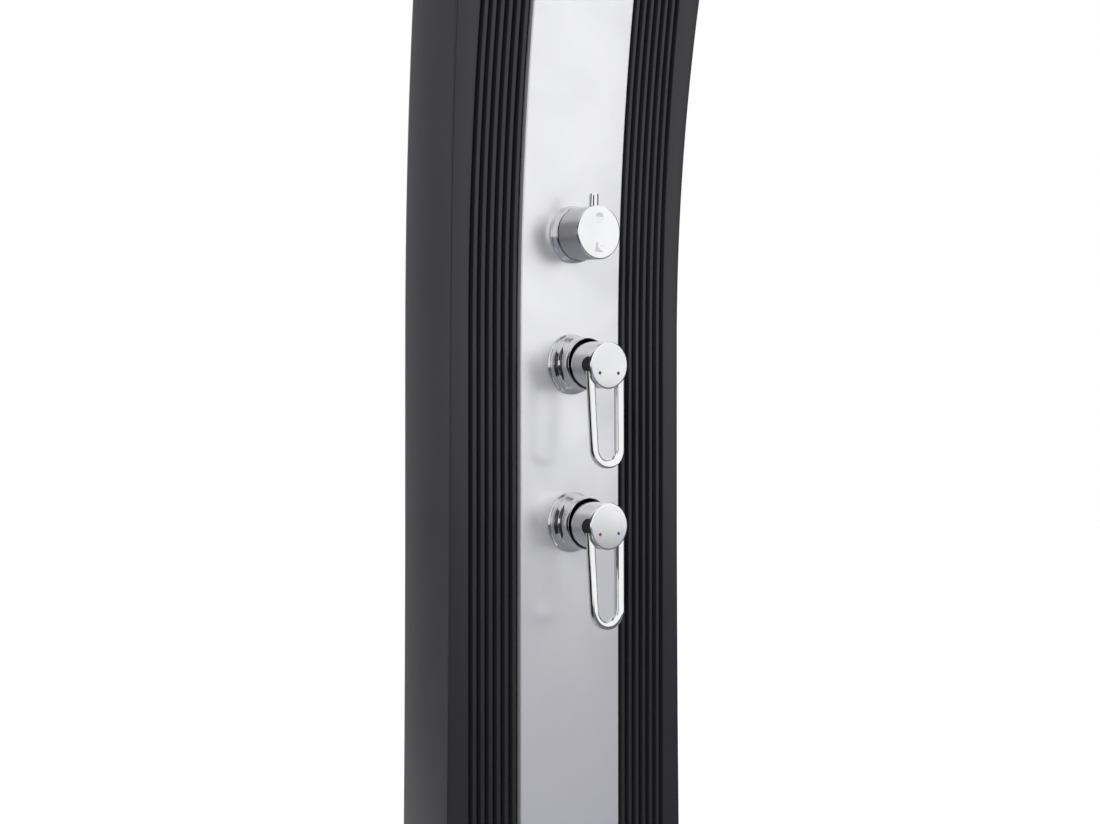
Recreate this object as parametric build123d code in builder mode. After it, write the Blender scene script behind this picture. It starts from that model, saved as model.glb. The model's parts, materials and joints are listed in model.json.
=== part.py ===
from build123d import *
from math import asin, cos, degrees, pi, sin
import os

os.makedirs("parts", exist_ok=True)

# Column: a tall tank whose front face runs straight up and then arcs forward.
# All sizes are in millimetres, the front of the shower looks along -Y, and the
# origin is the centre of the base plate's underside.
front_y = -20
bend_start = 1137
bend_radius = 2165
arc_length = 1030
crown_depth = 106
crown_radius = 285
waist_half_width = 128
waist_height = 1030
foot_flare_radius = 25800
hood_flare = 32
hood_height = 1000
blank_half_width = 166
trim_reach = 600
corner_radius = 6
wall = 3
end_wall = 24

# Ribs in the two flanks of the front face
strip_half_width = 55
rib_outer_half_width = 109
groove_count = 7
groove_depth = 6
groove_draft = 0.6

# Service channel behind the fascia, and the fascia itself
channel_half_width = 46
channel_depth = 62
land_depth = 1.2
land_inset = 2.5
fascia_thickness = 2
fascia_proud = 1
fascia_flange_depth = 5
fascia_edge_radius = 1.2
curve_gap = 0.2
seam_gap = 0.3
foot_seam = -497
front_seam = 330
hood_seam = 680

# Base
plate_size = (340, 300)
plate_thickness = 6
plate_corner_radius = 20
anchor_spacing = (290, 250)
anchor_hole_radius = 6
pedestal_top = 70
pedestal_wall = 4
pedestal_half = 110
pedestal_y = (-10, 56)
pedestal_flange = 16
window_half = 44
window_y = (-6, 38)
tank_bottom = pedestal_top
collar_top = 90
collar_gap = 1.5
collar_wall = 3.5
collar_inner_corner = 3
fascia_bottom = tank_bottom + 3

# Places of the controls and outlets, as distances along the front face from the
# height where the bend starts
diverter_along = 95
upper_mixer_along = -21
lower_mixer_along = -162
hose_outlet_along = -537
foot_spout_along = -717
arm_along = 975

# Pipes in the channel
riser_x = 35
riser_depth = 24
foot_pipe_depth = 53
pipe_radius = 6
pipe_bore = 5
slim_pipe_radius = 5
slim_pipe_bore = 4
tee_radius = 10
tee_length = 28
port_radius = 7
port_reach = 25
butt_gap = 0.2
inlet_height = 40
cold_tee_height = 160
hot_tee_along = 850
half_inch_thread_radius = 10.48

# Valve bodies and their handles, as heights out of the fascia's front face
valve_radius = 23
valve_back = -41
mixer_neck_radius = 18
cartridge_radius = 14.9
rosette_radius = 27
rosette_bore = 22
rosette_height = 25
lever_radius = 20.5
lever_wall = 2
lever_back = 25.3
lever_pivot = 25
lever_plate_back = 46
cap_back = 51.5
cap_front = 54.5
loop_bar = 6
loop_top_half_width = 19.75
loop_end_half_width = 17.2
loop_reach = 90
yoke_radius = 10
running_gap = 0.05
stem_size = (8, 7)
pivot_pin_radius = 1.5
knob_radius = 23.5
knob_back = 9.8
knob_front = 38.5
knob_wall = 3
knob_pin_radius = 4.35
knob_pin_reach = 34.5
spindle_radius = 4
outlet_radius = 11
outlet_bore = 8.5

# Overhead rose on its ball joint
arm_reach = 110
arm_drop = 62
arm_bend_radius = 55
ball_radius = 12
ball_neck_radius = 7
ball_neck_length = 26
seal_radius = 14
rose_radius = 100
rose_depth = 30
face_plate_thickness = 3
nozzle_rings = ((1, 0), (6, 16), (12, 32), (18, 48), (24, 64), (30, 80))


def place(along, depth=0, x=0):
    """Point at a distance along the front face and a depth behind it."""
    turn = max(along, 0) / bend_radius
    radius = bend_radius + depth
    return Vector(
        x,
        front_y - bend_radius + radius * cos(turn),
        bend_start + min(along, 0) + radius * sin(turn),
    )


def across(along, depth=0, x=0):
    """Plane across the column: x to the right, y into its depth, normal along it."""
    turn = max(along, 0) / bend_radius
    return Plane(place(along, depth, x), x_dir=(1, 0, 0), z_dir=(0, -sin(turn), cos(turn)))


def outward(along, x=0):
    """Plane on the fascia's front face: x to the right, y up it, normal out of it."""
    turn = max(along, 0) / bend_radius
    return Plane(
        place(along, -fascia_proud, x), x_dir=(1, 0, 0), z_dir=(0, -cos(turn), -sin(turn))
    )


def rearward(along, depth, x):
    """Plane in the channel whose normal points to the back of the column."""
    turn = max(along, 0) / bend_radius
    return Plane(place(along, depth, x), x_dir=(1, 0, 0), z_dir=(0, cos(turn), sin(turn)))


def flare(distance, radius):
    """Sideways step of an arc that starts straight, at a distance along it."""
    return radius - (radius**2 - distance**2) ** 0.5


hood_flare_radius = ((hood_height / 2) ** 2 + (hood_flare / 2) ** 2) / hood_flare


def half_width(height):
    """Half the column's width at a height: waisted at the controls, wider above and below."""
    above = min(height - bend_start, hood_height)
    if height < waist_height:
        return waist_half_width + flare(waist_height - height, foot_flare_radius)
    if above < 0:
        return waist_half_width
    if above < hood_height / 2:
        return waist_half_width + flare(above, hood_flare_radius)
    return waist_half_width + hood_flare - flare(hood_height - above, hood_flare_radius)


def crown(x):
    """Depth of the domed back at a distance from the middle."""
    return crown_depth - flare(x, crown_radius)


def front_view(inset):
    """Front view of the column, to which its sides are trimmed."""
    low, high = tank_bottom - 1, bend_start + hood_height + 200
    half = waist_half_width - inset
    hood_middle = bend_start + hood_height / 2
    hood_top = bend_start + hood_height
    with BuildSketch(Plane.XZ.offset(trim_reach)) as outline:
        with BuildLine():
            foot = Line((0, low), (half_width(low) - inset, low))
            middle = (low + waist_height) / 2
            ThreePointArc(
                foot @ 1, (half_width(middle) - inset, middle), (half, waist_height)
            )
            Line((half, waist_height), (half, bend_start))
            for start, end in ((bend_start, hood_middle), (hood_middle, hood_top)):
                ThreePointArc(
                    *((half_width(z) - inset, z) for z in (start, (start + end) / 2, end))
                )
            Polyline(
                (half_width(hood_top) - inset, hood_top),
                (half_width(hood_top) - inset, high),
                (0, high),
            )
            mirror(about=Plane.YZ)
        make_face()
    return outline


def ribbed_points():
    """Right half of the tank's front edge, from the channel floor out to the side."""
    pitch = (rib_outer_half_width - strip_half_width) / (groove_count - 0.5)
    groove = pitch / 2
    land_edge = strip_half_width - land_inset
    points = [
        (channel_half_width, channel_depth),
        (channel_half_width, land_depth),
        (land_edge, land_depth),
        (land_edge, groove_depth),
        (strip_half_width + groove - groove_draft, groove_depth),
        (strip_half_width + groove, 0),
    ]
    for rib in range(1, groove_count):
        start = strip_half_width + rib * pitch
        points += [
            (start, 0),
            (start + groove_draft, groove_depth),
            (start + groove - groove_draft, groove_depth),
            (start + groove, 0),
        ]
    return points


def run_column(section, low, high_along):
    """Section run straight up from a height to the bend, and then along the bend."""
    bend_axis = Axis((0, front_y - bend_radius, bend_start), (1, 0, 0))
    with BuildPart() as run:
        add(section.sketch)
        extrude(amount=low - bend_start)
        add(section.sketch)
        revolve(axis=bend_axis, revolution_arc=degrees(high_along / bend_radius))
    return run


def save(piece, name):
    """Label a finished piece and write it."""
    piece.part.label = name
    export_step(piece.part, f"parts/{name}.step")


def turned(plane, profile):
    """Piece turned about the plane's normal from points of radius and height."""
    with BuildPart() as piece:
        with BuildSketch(Plane(plane.origin, x_dir=plane.x_dir, z_dir=-plane.y_dir)):
            with BuildLine():
                Polyline(*profile, close=True)
            make_face()
        revolve(axis=Axis(plane.origin, plane.z_dir))
    return piece


def pipe(path_start, path, outer, inner):
    """Tube swept along a path from a plane that stands across its start."""
    with BuildPart() as piece:
        with BuildSketch(path_start):
            Circle(outer)
            Circle(inner, mode=Mode.SUBTRACT)
        sweep(path=path)
    return piece


# Tank: a blow-moulded shell, ribbed in front, with the channel down its middle
right = ribbed_points()
left = [(-x, depth) for x, depth in reversed(right)]
side = blank_half_width
with BuildSketch(across(0)) as tank_section:
    with BuildLine():
        Polyline(*left, right[0])
        Polyline(*right)
        Polyline(right[-1], (side, 0), (side, crown(side)))
        Polyline(left[0], (-side, 0), (-side, crown(side)))
        ThreePointArc((side, crown(side)), (0, crown_depth), (-side, crown(side)))
    make_face()

# Section of its water space, a wall's thickness inside
front_wall = groove_depth + wall
inner = channel_half_width + wall
back_depth = crown(side) - wall
with BuildSketch(across(0)) as water_section:
    with BuildLine():
        Polyline(
            (-side, back_depth),
            (-side, front_wall),
            (-inner, front_wall),
            (-inner, channel_depth + wall),
            (inner, channel_depth + wall),
            (inner, front_wall),
            (side, front_wall),
            (side, back_depth),
        )
        ThreePointArc((side, back_depth), (0, crown_depth - wall), (-side, back_depth))
    make_face()
water_run = run_column(water_section, tank_bottom + end_wall, arc_length - end_wall)
with BuildPart() as water_space:
    add(water_run.part)
    add(front_view(wall).sketch)
    extrude(amount=2 * trim_reach, dir=(0, 1, 0), mode=Mode.INTERSECT)

tank_bolt_places = [(x, y) for x in (-90, 90) for y in (14, 38)]
tank_bolt_radius = 4
tank_bolt_depth = 18
cap_screw_places = [(x, depth) for x in (-120, 120) for depth in (30, 62)]
cap_screw_radius = 2
cap_screw_length = 18
nipple_radius = 8
drain_height = 118
drain_radius = 9
hot_nipple = rearward(hot_tee_along, channel_depth, -riser_x)
cold_nipple = rearward(cold_tee_height - bend_start, channel_depth, riser_x)
with BuildPart(mode=Mode.PRIVATE) as drain_bore:
    with BuildSketch(Plane.XZ.offset(-front_y - crown_depth - 5)):
        with Locations((0, drain_height)):
            Circle(drain_radius)
    extrude(amount=15)
tank_run = run_column(tank_section, tank_bottom, arc_length)
with BuildPart() as tank_body:
    add(tank_run.part)
    add(front_view(0).sketch)
    extrude(amount=2 * trim_reach, dir=(0, 1, 0), mode=Mode.INTERSECT)
    add(water_space.part, mode=Mode.SUBTRACT)
    for nipple_plane in (hot_nipple, cold_nipple):
        with BuildSketch(nipple_plane.offset(-1)):
            Circle(nipple_radius)
        extrude(amount=wall + 3, mode=Mode.SUBTRACT)
    add(drain_bore.part, mode=Mode.SUBTRACT)
    with BuildSketch(Plane.XY.offset(tank_bottom)):
        with Locations(*tank_bolt_places):
            Circle(tank_bolt_radius)
    extrude(amount=tank_bolt_depth, mode=Mode.SUBTRACT)
    with BuildSketch(across(arc_length)):
        with Locations(*cap_screw_places):
            Circle(cap_screw_radius)
    extrude(amount=-cap_screw_length, mode=Mode.SUBTRACT)
save(tank_body, "tank_body")

# Fascia: a folded aluminium strip that closes the channel, in four lengths, with the
# seams above and below the controls
inside = strip_half_width - fascia_thickness
back = fascia_thickness - fascia_proud
neck_clearance = 0.5
fascia_holes = (
    (diverter_along, 15 + neck_clearance),
    (upper_mixer_along, mixer_neck_radius + neck_clearance),
    (lower_mixer_along, mixer_neck_radius + neck_clearance),
    (hose_outlet_along, outlet_radius + neck_clearance),
    (foot_spout_along, outlet_radius + neck_clearance),
    (arm_along, outlet_radius + neck_clearance),
)


def fascia_section(plane):
    """Folded section of the fascia on a plane across the column."""
    with BuildSketch(plane) as section:
        with BuildLine():
            Polyline(
                (-strip_half_width, fascia_flange_depth),
                (-strip_half_width, -fascia_proud),
                (strip_half_width, -fascia_proud),
                (strip_half_width, fascia_flange_depth),
                (inside, fascia_flange_depth),
                (inside, back),
                (-inside, back),
                (-inside, fascia_flange_depth),
                close=True,
            )
        make_face()
        fillet(section.vertices().group_by(Axis.Y)[0], fascia_edge_radius)
    return section


def fascia_lengths(name, *ranges):
    """Lengths of the fascia between distances along the front face, in one file."""
    bend_axis = Axis((0, front_y - bend_radius, bend_start), (1, 0, 0))
    with BuildPart() as lengths:
        for low, high in ranges:
            if low < 0:
                add(fascia_section(across(low)).sketch)
                extrude(amount=min(high, 0) - low, dir=(0, 0, 1))
            if high > 0:
                add(fascia_section(across(max(low, 0))).sketch)
                turn = degrees((high - max(low, 0)) / bend_radius)
                revolve(axis=bend_axis, revolution_arc=turn)
            for along, radius in fascia_holes:
                if low < along < high:
                    with BuildSketch(outward(along).offset(1)):
                        Circle(radius)
                    extrude(amount=-fascia_thickness - 2, mode=Mode.SUBTRACT)
    save(lengths, name)


fascia_lengths("fascia_foot", (fascia_bottom - bend_start, foot_seam - seam_gap))
fascia_lengths("front_fascia", (foot_seam, front_seam - seam_gap))
fascia_lengths("fascia_hood", (front_seam, hood_seam - seam_gap), (hood_seam, arc_length))


def plain_outline(plane, half, grow, corner):
    """Outline of the column without its ribs, grown outwards, with rounded corners."""
    with BuildSketch(plane) as outline:
        with BuildLine():
            Polyline((-half, crown(half)), (-half, 0), (half, 0), (half, crown(half)))
            ThreePointArc((half, crown(half)), (0, crown_depth), (-half, crown(half)))
        make_face()
        if grow:
            offset(amount=grow, kind=Kind.INTERSECTION)
        fillet(outline.vertices(), corner)
    return outline


# Top cap that closes the tank and the channel at the hood's tip
top_cap_height = 16
cap_edge_radius = 5
cap_bore_radius = 4.2
cap_bore_depth = 5
cap_top = plain_outline(
    across(arc_length), waist_half_width + hood_flare, 0, corner_radius
)
with BuildPart() as top_cap:
    add(cap_top.sketch)
    extrude(amount=top_cap_height, dir=across(arc_length).z_dir)
    fillet(top_cap.faces().sort_by(Axis.Z)[-1].edges(), cap_edge_radius)
    with Locations(across(arc_length).offset(top_cap_height)):
        with Locations(*cap_screw_places):
            CounterBoreHole(cap_screw_radius + 0.3, cap_bore_radius, cap_bore_depth)
save(top_cap, "top_cap")

screw_head_radius = 3.8
screw_head_height = 3.4
screw_head_back = top_cap_height - cap_bore_depth
with BuildPart() as top_cap_screws:
    with BuildSketch(across(arc_length).offset(screw_head_back)):
        with Locations(*cap_screw_places):
            Circle(screw_head_radius)
    extrude(amount=screw_head_height)
    with BuildSketch(across(arc_length).offset(screw_head_back)):
        with Locations(*cap_screw_places):
            Circle(cap_screw_radius)
    extrude(amount=-screw_head_back - cap_screw_length + 2)
save(top_cap_screws, "top_cap_screws")

# Base plate with four anchor holes at the corners
pedestal_bolt_places = [(x, y) for x in (-118, 118) for y in (6, 40)]
pedestal_bolt_radius = 4
with BuildPart() as base_plate:
    with BuildSketch():
        RectangleRounded(*plate_size, plate_corner_radius)
        with GridLocations(*anchor_spacing, 2, 2):
            Circle(anchor_hole_radius, mode=Mode.SUBTRACT)
        with Locations(*pedestal_bolt_places):
            Circle(pedestal_bolt_radius, mode=Mode.SUBTRACT)
    extrude(amount=plate_thickness)
    chamfer(base_plate.faces().sort_by(Axis.Z)[-1].outer_wire().edges(), 1)
save(base_plate, "base_plate")

# Pedestal: a folded steel box that lifts the tank above the plate
pedestal_middle = (pedestal_y[0] + pedestal_y[1]) / 2
pedestal_size = (2 * pedestal_half, pedestal_y[1] - pedestal_y[0])
window_middle = (window_y[0] + window_y[1]) / 2
window_size = (2 * window_half, window_y[1] - window_y[0])
inlet_hole_radius = 15
inlet_axis = Plane((riser_x, 0, inlet_height), x_dir=(1, 0, 0), z_dir=(0, 1, 0))
with BuildPart() as pedestal:
    with BuildSketch(Plane.XY.offset(plate_thickness)):
        with Locations((0, pedestal_middle)):
            Rectangle(pedestal_size[0] + 2 * pedestal_flange, pedestal_size[1])
        with Locations(*pedestal_bolt_places):
            Circle(pedestal_bolt_radius, mode=Mode.SUBTRACT)
    extrude(amount=pedestal_wall)
    with BuildSketch(Plane.XY.offset(plate_thickness)):
        with Locations((0, pedestal_middle)):
            Rectangle(*pedestal_size)
    extrude(amount=pedestal_top - plate_thickness)
    with BuildSketch(Plane.XY.offset(plate_thickness)):
        with Locations((0, pedestal_middle)):
            Rectangle(pedestal_size[0] - 2 * pedestal_wall, pedestal_size[1] - 2 * pedestal_wall)
    extrude(amount=pedestal_top - plate_thickness - pedestal_wall, mode=Mode.SUBTRACT)
    with BuildSketch(Plane.XY.offset(pedestal_top)):
        with Locations((0, window_middle)):
            Rectangle(*window_size)
        with Locations(*tank_bolt_places):
            Circle(tank_bolt_radius)
    extrude(amount=-pedestal_wall, mode=Mode.SUBTRACT)
    with BuildSketch(inlet_axis.offset(pedestal_y[1] + 1)):
        Circle(inlet_hole_radius)
    extrude(amount=-pedestal_wall - 2, mode=Mode.SUBTRACT)
save(pedestal, "pedestal")


def hex_bolts(places, head_plane, shank_radius, shank_length, across_flats, head_height):
    """Group of bolts whose heads lie on a plane and whose shanks go the other way."""
    with BuildPart() as bolts:
        with BuildSketch(head_plane):
            with Locations(*places):
                RegularPolygon(across_flats / 2, 6, major_radius=False)
        extrude(amount=head_height)
        with BuildSketch(head_plane):
            with Locations(*places):
                Circle(shank_radius)
        extrude(amount=-shank_length)
    return bolts


bolt_flats = 13
bolt_head_height = 5
pedestal_bolts = hex_bolts(
    pedestal_bolt_places,
    Plane.XY.offset(plate_thickness + pedestal_wall),
    pedestal_bolt_radius,
    plate_thickness + pedestal_wall - 1,
    bolt_flats,
    bolt_head_height,
)
save(pedestal_bolts, "pedestal_bolts")

under_top = Plane((0, 0, pedestal_top - pedestal_wall), x_dir=(1, 0, 0), z_dir=(0, 0, -1))
tank_bolts = hex_bolts(
    [(x, -y) for x, y in tank_bolt_places],
    under_top,
    tank_bolt_radius,
    pedestal_wall + tank_bolt_depth - 2,
    bolt_flats,
    bolt_head_height,
)
save(tank_bolts, "tank_bolts")

# Collar: a moulded skirt round the pedestal and the tank's foot
collar_plane = Plane((0, front_y, plate_thickness))
foot_half = half_width(tank_bottom)
collar_growth = collar_gap + collar_wall
collar_outside = plain_outline(
    collar_plane, foot_half, collar_growth, collar_inner_corner + collar_wall
)
collar_inside = plain_outline(collar_plane, foot_half, collar_gap, collar_inner_corner)
with BuildPart() as base_collar:
    add(collar_outside.sketch)
    extrude(amount=collar_top - plate_thickness)
    chamfer(base_collar.faces().sort_by(Axis.Z)[-1].edges(), 1.5)
    add(collar_inside.sketch)
    extrude(amount=collar_top - plate_thickness, mode=Mode.SUBTRACT)
    with BuildSketch(inlet_axis.offset(front_y + crown_depth - 20)):
        Circle(inlet_hole_radius)
    extrude(amount=40, mode=Mode.SUBTRACT)
save(base_collar, "base_collar")

# Drain plug in the back of the tank
drain_face = Plane(
    (0, front_y + crown_depth + 0.4, drain_height), x_dir=(-1, 0, 0), z_dir=(0, 1, 0)
)
with BuildPart() as drain_plug:
    with BuildSketch(drain_face):
        RegularPolygon(15, 12)
    extrude(amount=7)
    with BuildSketch(drain_face):
        Circle(drain_radius)
    extrude(amount=-12)
    with BuildSketch(drain_face.offset(7)):
        SlotOverall(20, 4)
    extrude(amount=-3, mode=Mode.SUBTRACT)
save(drain_plug, "drain_plug")

# Cold inlet at the back of the base, with its half-inch male thread
inlet_fitting = turned(
    inlet_axis,
    [
        (pipe_radius - 1, 78),
        (pipe_radius + 4, 78),
        (pipe_radius + 4, 106),
        (14, 106),
        (14, 114),
        (half_inch_thread_radius, 114),
        (half_inch_thread_radius, 130),
        (pipe_radius - 1, 130),
    ],
)
save(inlet_fitting, "inlet_fitting")

# Cold riser: from the inlet forward under the tank and up the channel
riser_y = front_y + riser_depth
riser_bend = 25
tee_overlap = tee_length / 2
with BuildLine() as cold_path:
    FilletPolyline(
        (riser_x, 78, inlet_height),
        (riser_x, riser_y, inlet_height),
        (riser_x, riser_y, bend_start + upper_mixer_along + tee_overlap),
        radius=riser_bend,
    )
cold_riser = pipe(
    Plane((riser_x, 78, inlet_height), z_dir=(0, -1, 0)), cold_path.line, pipe_radius, pipe_bore
)
save(cold_riser, "cold_riser")

check_valve = turned(
    across(100 - bend_start, riser_depth, riser_x),
    [(pipe_radius, 0), (9, 0), (10.5, 2), (10.5, 30), (9, 32), (pipe_radius, 32)],
)
save(check_valve, "check_valve")

# Hot riser: from high in the tank down the channel to the lower mixer
with BuildLine() as hot_path:
    ThreePointArc(
        place(hot_tee_along + tee_overlap, riser_depth, -riser_x),
        place(hot_tee_along / 2, riser_depth, -riser_x),
        place(0, riser_depth, -riser_x),
    )
    Line(
        place(0, riser_depth, -riser_x),
        place(lower_mixer_along - tee_overlap, riser_depth, -riser_x),
    )
hot_riser = pipe(
    across(hot_tee_along + tee_overlap, riser_depth, -riser_x),
    hot_path.line,
    pipe_radius,
    pipe_bore,
)
save(hot_riser, "hot_riser")

# Tees from the risers to the tank, and the nipples that pass through its wall
nipple_flange = 6
bore_ease = 0.1
with BuildPart() as tank_tees:
    for along, x in ((hot_tee_along, -riser_x), (cold_tee_height - bend_start, riser_x)):
        with BuildSketch(across(along, riser_depth, x).offset(-tee_overlap)):
            Circle(tee_radius)
        extrude(amount=tee_length)
        with BuildSketch(rearward(along, riser_depth, x)):
            Circle(nipple_radius)
        extrude(amount=channel_depth - nipple_flange - riser_depth)
    for along, x in ((hot_tee_along, -riser_x), (cold_tee_height - bend_start, riser_x)):
        with BuildSketch(across(along, riser_depth, x).offset(-tee_overlap)):
            Circle(pipe_radius + bore_ease)
        extrude(amount=tee_length, mode=Mode.SUBTRACT)
        with BuildSketch(rearward(along, riser_depth, x)):
            Circle(pipe_bore)
        extrude(amount=channel_depth - nipple_flange - riser_depth, mode=Mode.SUBTRACT)
save(tank_tees, "tank_tees")

with BuildPart() as tank_nipples:
    for nipple_plane in (hot_nipple, cold_nipple):
        with BuildSketch(nipple_plane.offset(-nipple_flange)):
            RegularPolygon(10, 6)
            Circle(pipe_bore, mode=Mode.SUBTRACT)
        extrude(amount=nipple_flange - 0.05)
        with BuildSketch(nipple_plane.offset(-nipple_flange)):
            Circle(nipple_radius)
            Circle(pipe_bore, mode=Mode.SUBTRACT)
        extrude(amount=nipple_flange + wall + 10)
save(tank_nipples, "tank_nipples")

# Tees on both risers at the height of each mixer, open towards the mixer's ports
with BuildPart() as supply_tees:
    for along in (upper_mixer_along, lower_mixer_along):
        for x, side in ((riser_x, -1), (-riser_x, 1)):
            with BuildSketch(across(along, riser_depth, x).offset(-tee_overlap)):
                Circle(tee_radius)
            extrude(amount=tee_length)
            with BuildSketch(across(along, riser_depth, x).offset(-tee_overlap)):
                Circle(pipe_radius)
            extrude(amount=tee_length, mode=Mode.SUBTRACT)
            with BuildSketch(Plane(place(along, riser_depth, x), z_dir=(side, 0, 0))):
                Circle(port_radius)
            extrude(amount=tee_radius + 1, mode=Mode.SUBTRACT)
save(supply_tees, "supply_tees")


def arc_pipe(start, end, depth, outer, inner):
    """Pipe that follows the bend at a depth behind the front face."""
    with BuildLine() as path:
        ThreePointArc(place(start, depth), place((start + end) / 2, depth), place(end, depth))
    return pipe(across(start, depth), path.line, outer, inner)


mixed_pipe = arc_pipe(
    upper_mixer_along + port_reach + butt_gap,
    diverter_along - port_reach - butt_gap,
    riser_depth,
    pipe_radius,
    pipe_bore,
)
save(mixed_pipe, "mixed_pipe")

rose_feed_pipe = arc_pipe(
    diverter_along + port_reach + butt_gap,
    arm_along - port_reach + butt_gap,
    riser_depth,
    pipe_radius,
    pipe_bore,
)
save(rose_feed_pipe, "rose_feed_pipe")

# Foot-wash pipe: out of the diverter's back, down behind the mixers, forward to the spout
slim_bend = 12
valve_depth = -valve_back - fascia_proud
bend_orbit = bend_radius + foot_pipe_depth - slim_bend
bend_angle = asin(slim_bend / bend_orbit)
diverter_turn = diverter_along / bend_radius
bend_entry_depth = bend_orbit * cos(bend_angle) - bend_radius
bend_exit_along = (diverter_turn - bend_angle) * bend_radius
outlet_back = -30
spout_depth = -outlet_back - fascia_proud
with BuildLine() as foot_path:
    Line(place(diverter_along, valve_depth), place(diverter_along, bend_entry_depth))
    TangentArc(
        place(diverter_along, bend_entry_depth),
        place(bend_exit_along, foot_pipe_depth),
        tangent=(0, cos(diverter_turn), sin(diverter_turn)),
    )
    ThreePointArc(
        place(bend_exit_along, foot_pipe_depth),
        place(bend_exit_along / 2, foot_pipe_depth),
        place(0, foot_pipe_depth),
    )
    Line(place(0, foot_pipe_depth), place(foot_spout_along + slim_bend, foot_pipe_depth))
    TangentArc(
        place(foot_spout_along + slim_bend, foot_pipe_depth),
        place(foot_spout_along, foot_pipe_depth - slim_bend),
        tangent=(0, 0, -1),
    )
    Line(
        place(foot_spout_along, foot_pipe_depth - slim_bend), place(foot_spout_along, spout_depth)
    )
foot_feed_pipe = pipe(
    rearward(diverter_along, valve_depth, 0), foot_path.line, slim_pipe_radius, slim_pipe_bore
)
save(foot_feed_pipe, "foot_feed_pipe")

with BuildLine() as hose_path:
    Line(
        place(lower_mixer_along - port_reach, riser_depth),
        place(hose_outlet_along + port_reach, riser_depth),
    )
hose_feed_pipe = pipe(
    across(lower_mixer_along - port_reach, riser_depth), hose_path.line, pipe_radius, pipe_bore
)
save(hose_feed_pipe, "hose_feed_pipe")


def valve_body(along, neck_radius, neck_height, bore_radius, bore_floor, ports):
    """Brass valve in the channel: a neck through the fascia and ports round its side."""
    face = outward(along)
    port_height = -riser_depth - fascia_proud
    with BuildPart() as body:
        with BuildSketch(face.offset(valve_back)):
            Circle(valve_radius)
        extrude(amount=-valve_back - fascia_thickness)
        with BuildSketch(face.offset(-fascia_thickness)):
            Circle(neck_radius)
        extrude(amount=fascia_thickness + neck_height)
        for direction, reach in ports:
            heading = face.x_dir * direction[0] + face.y_dir * direction[1]
            centre = face.from_local_coords((0, 0, port_height))
            with BuildSketch(Plane(centre, z_dir=heading)):
                Circle(port_radius)
            extrude(amount=reach)
        with BuildSketch(face.offset(bore_floor)):
            Circle(bore_radius)
        extrude(amount=neck_height - bore_floor, mode=Mode.SUBTRACT)
        for direction, reach in ports:
            heading = face.x_dir * direction[0] + face.y_dir * direction[1]
            centre = face.from_local_coords((0, 0, port_height))
            with BuildSketch(Plane(centre, z_dir=heading).offset(bore_radius - 2)):
                Circle(pipe_bore)
            extrude(amount=reach, mode=Mode.SUBTRACT)
    return body


def loop_outline(grow):
    """Tapered loop of the lever, in the plane of its cap, grown by an amount."""
    end_y = -loop_reach + loop_end_half_width
    with BuildSketch(mode=Mode.PRIVATE) as outline:
        with BuildLine():
            top = (loop_top_half_width + grow, 3 + grow)
            low = (loop_end_half_width + grow, end_y)
            Polyline((-low[0], end_y), (-top[0], top[1]), top, low)
            ThreePointArc(low, (0, end_y - low[0]), (-low[0], end_y))
        make_face()
    return outline.sketch


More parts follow.
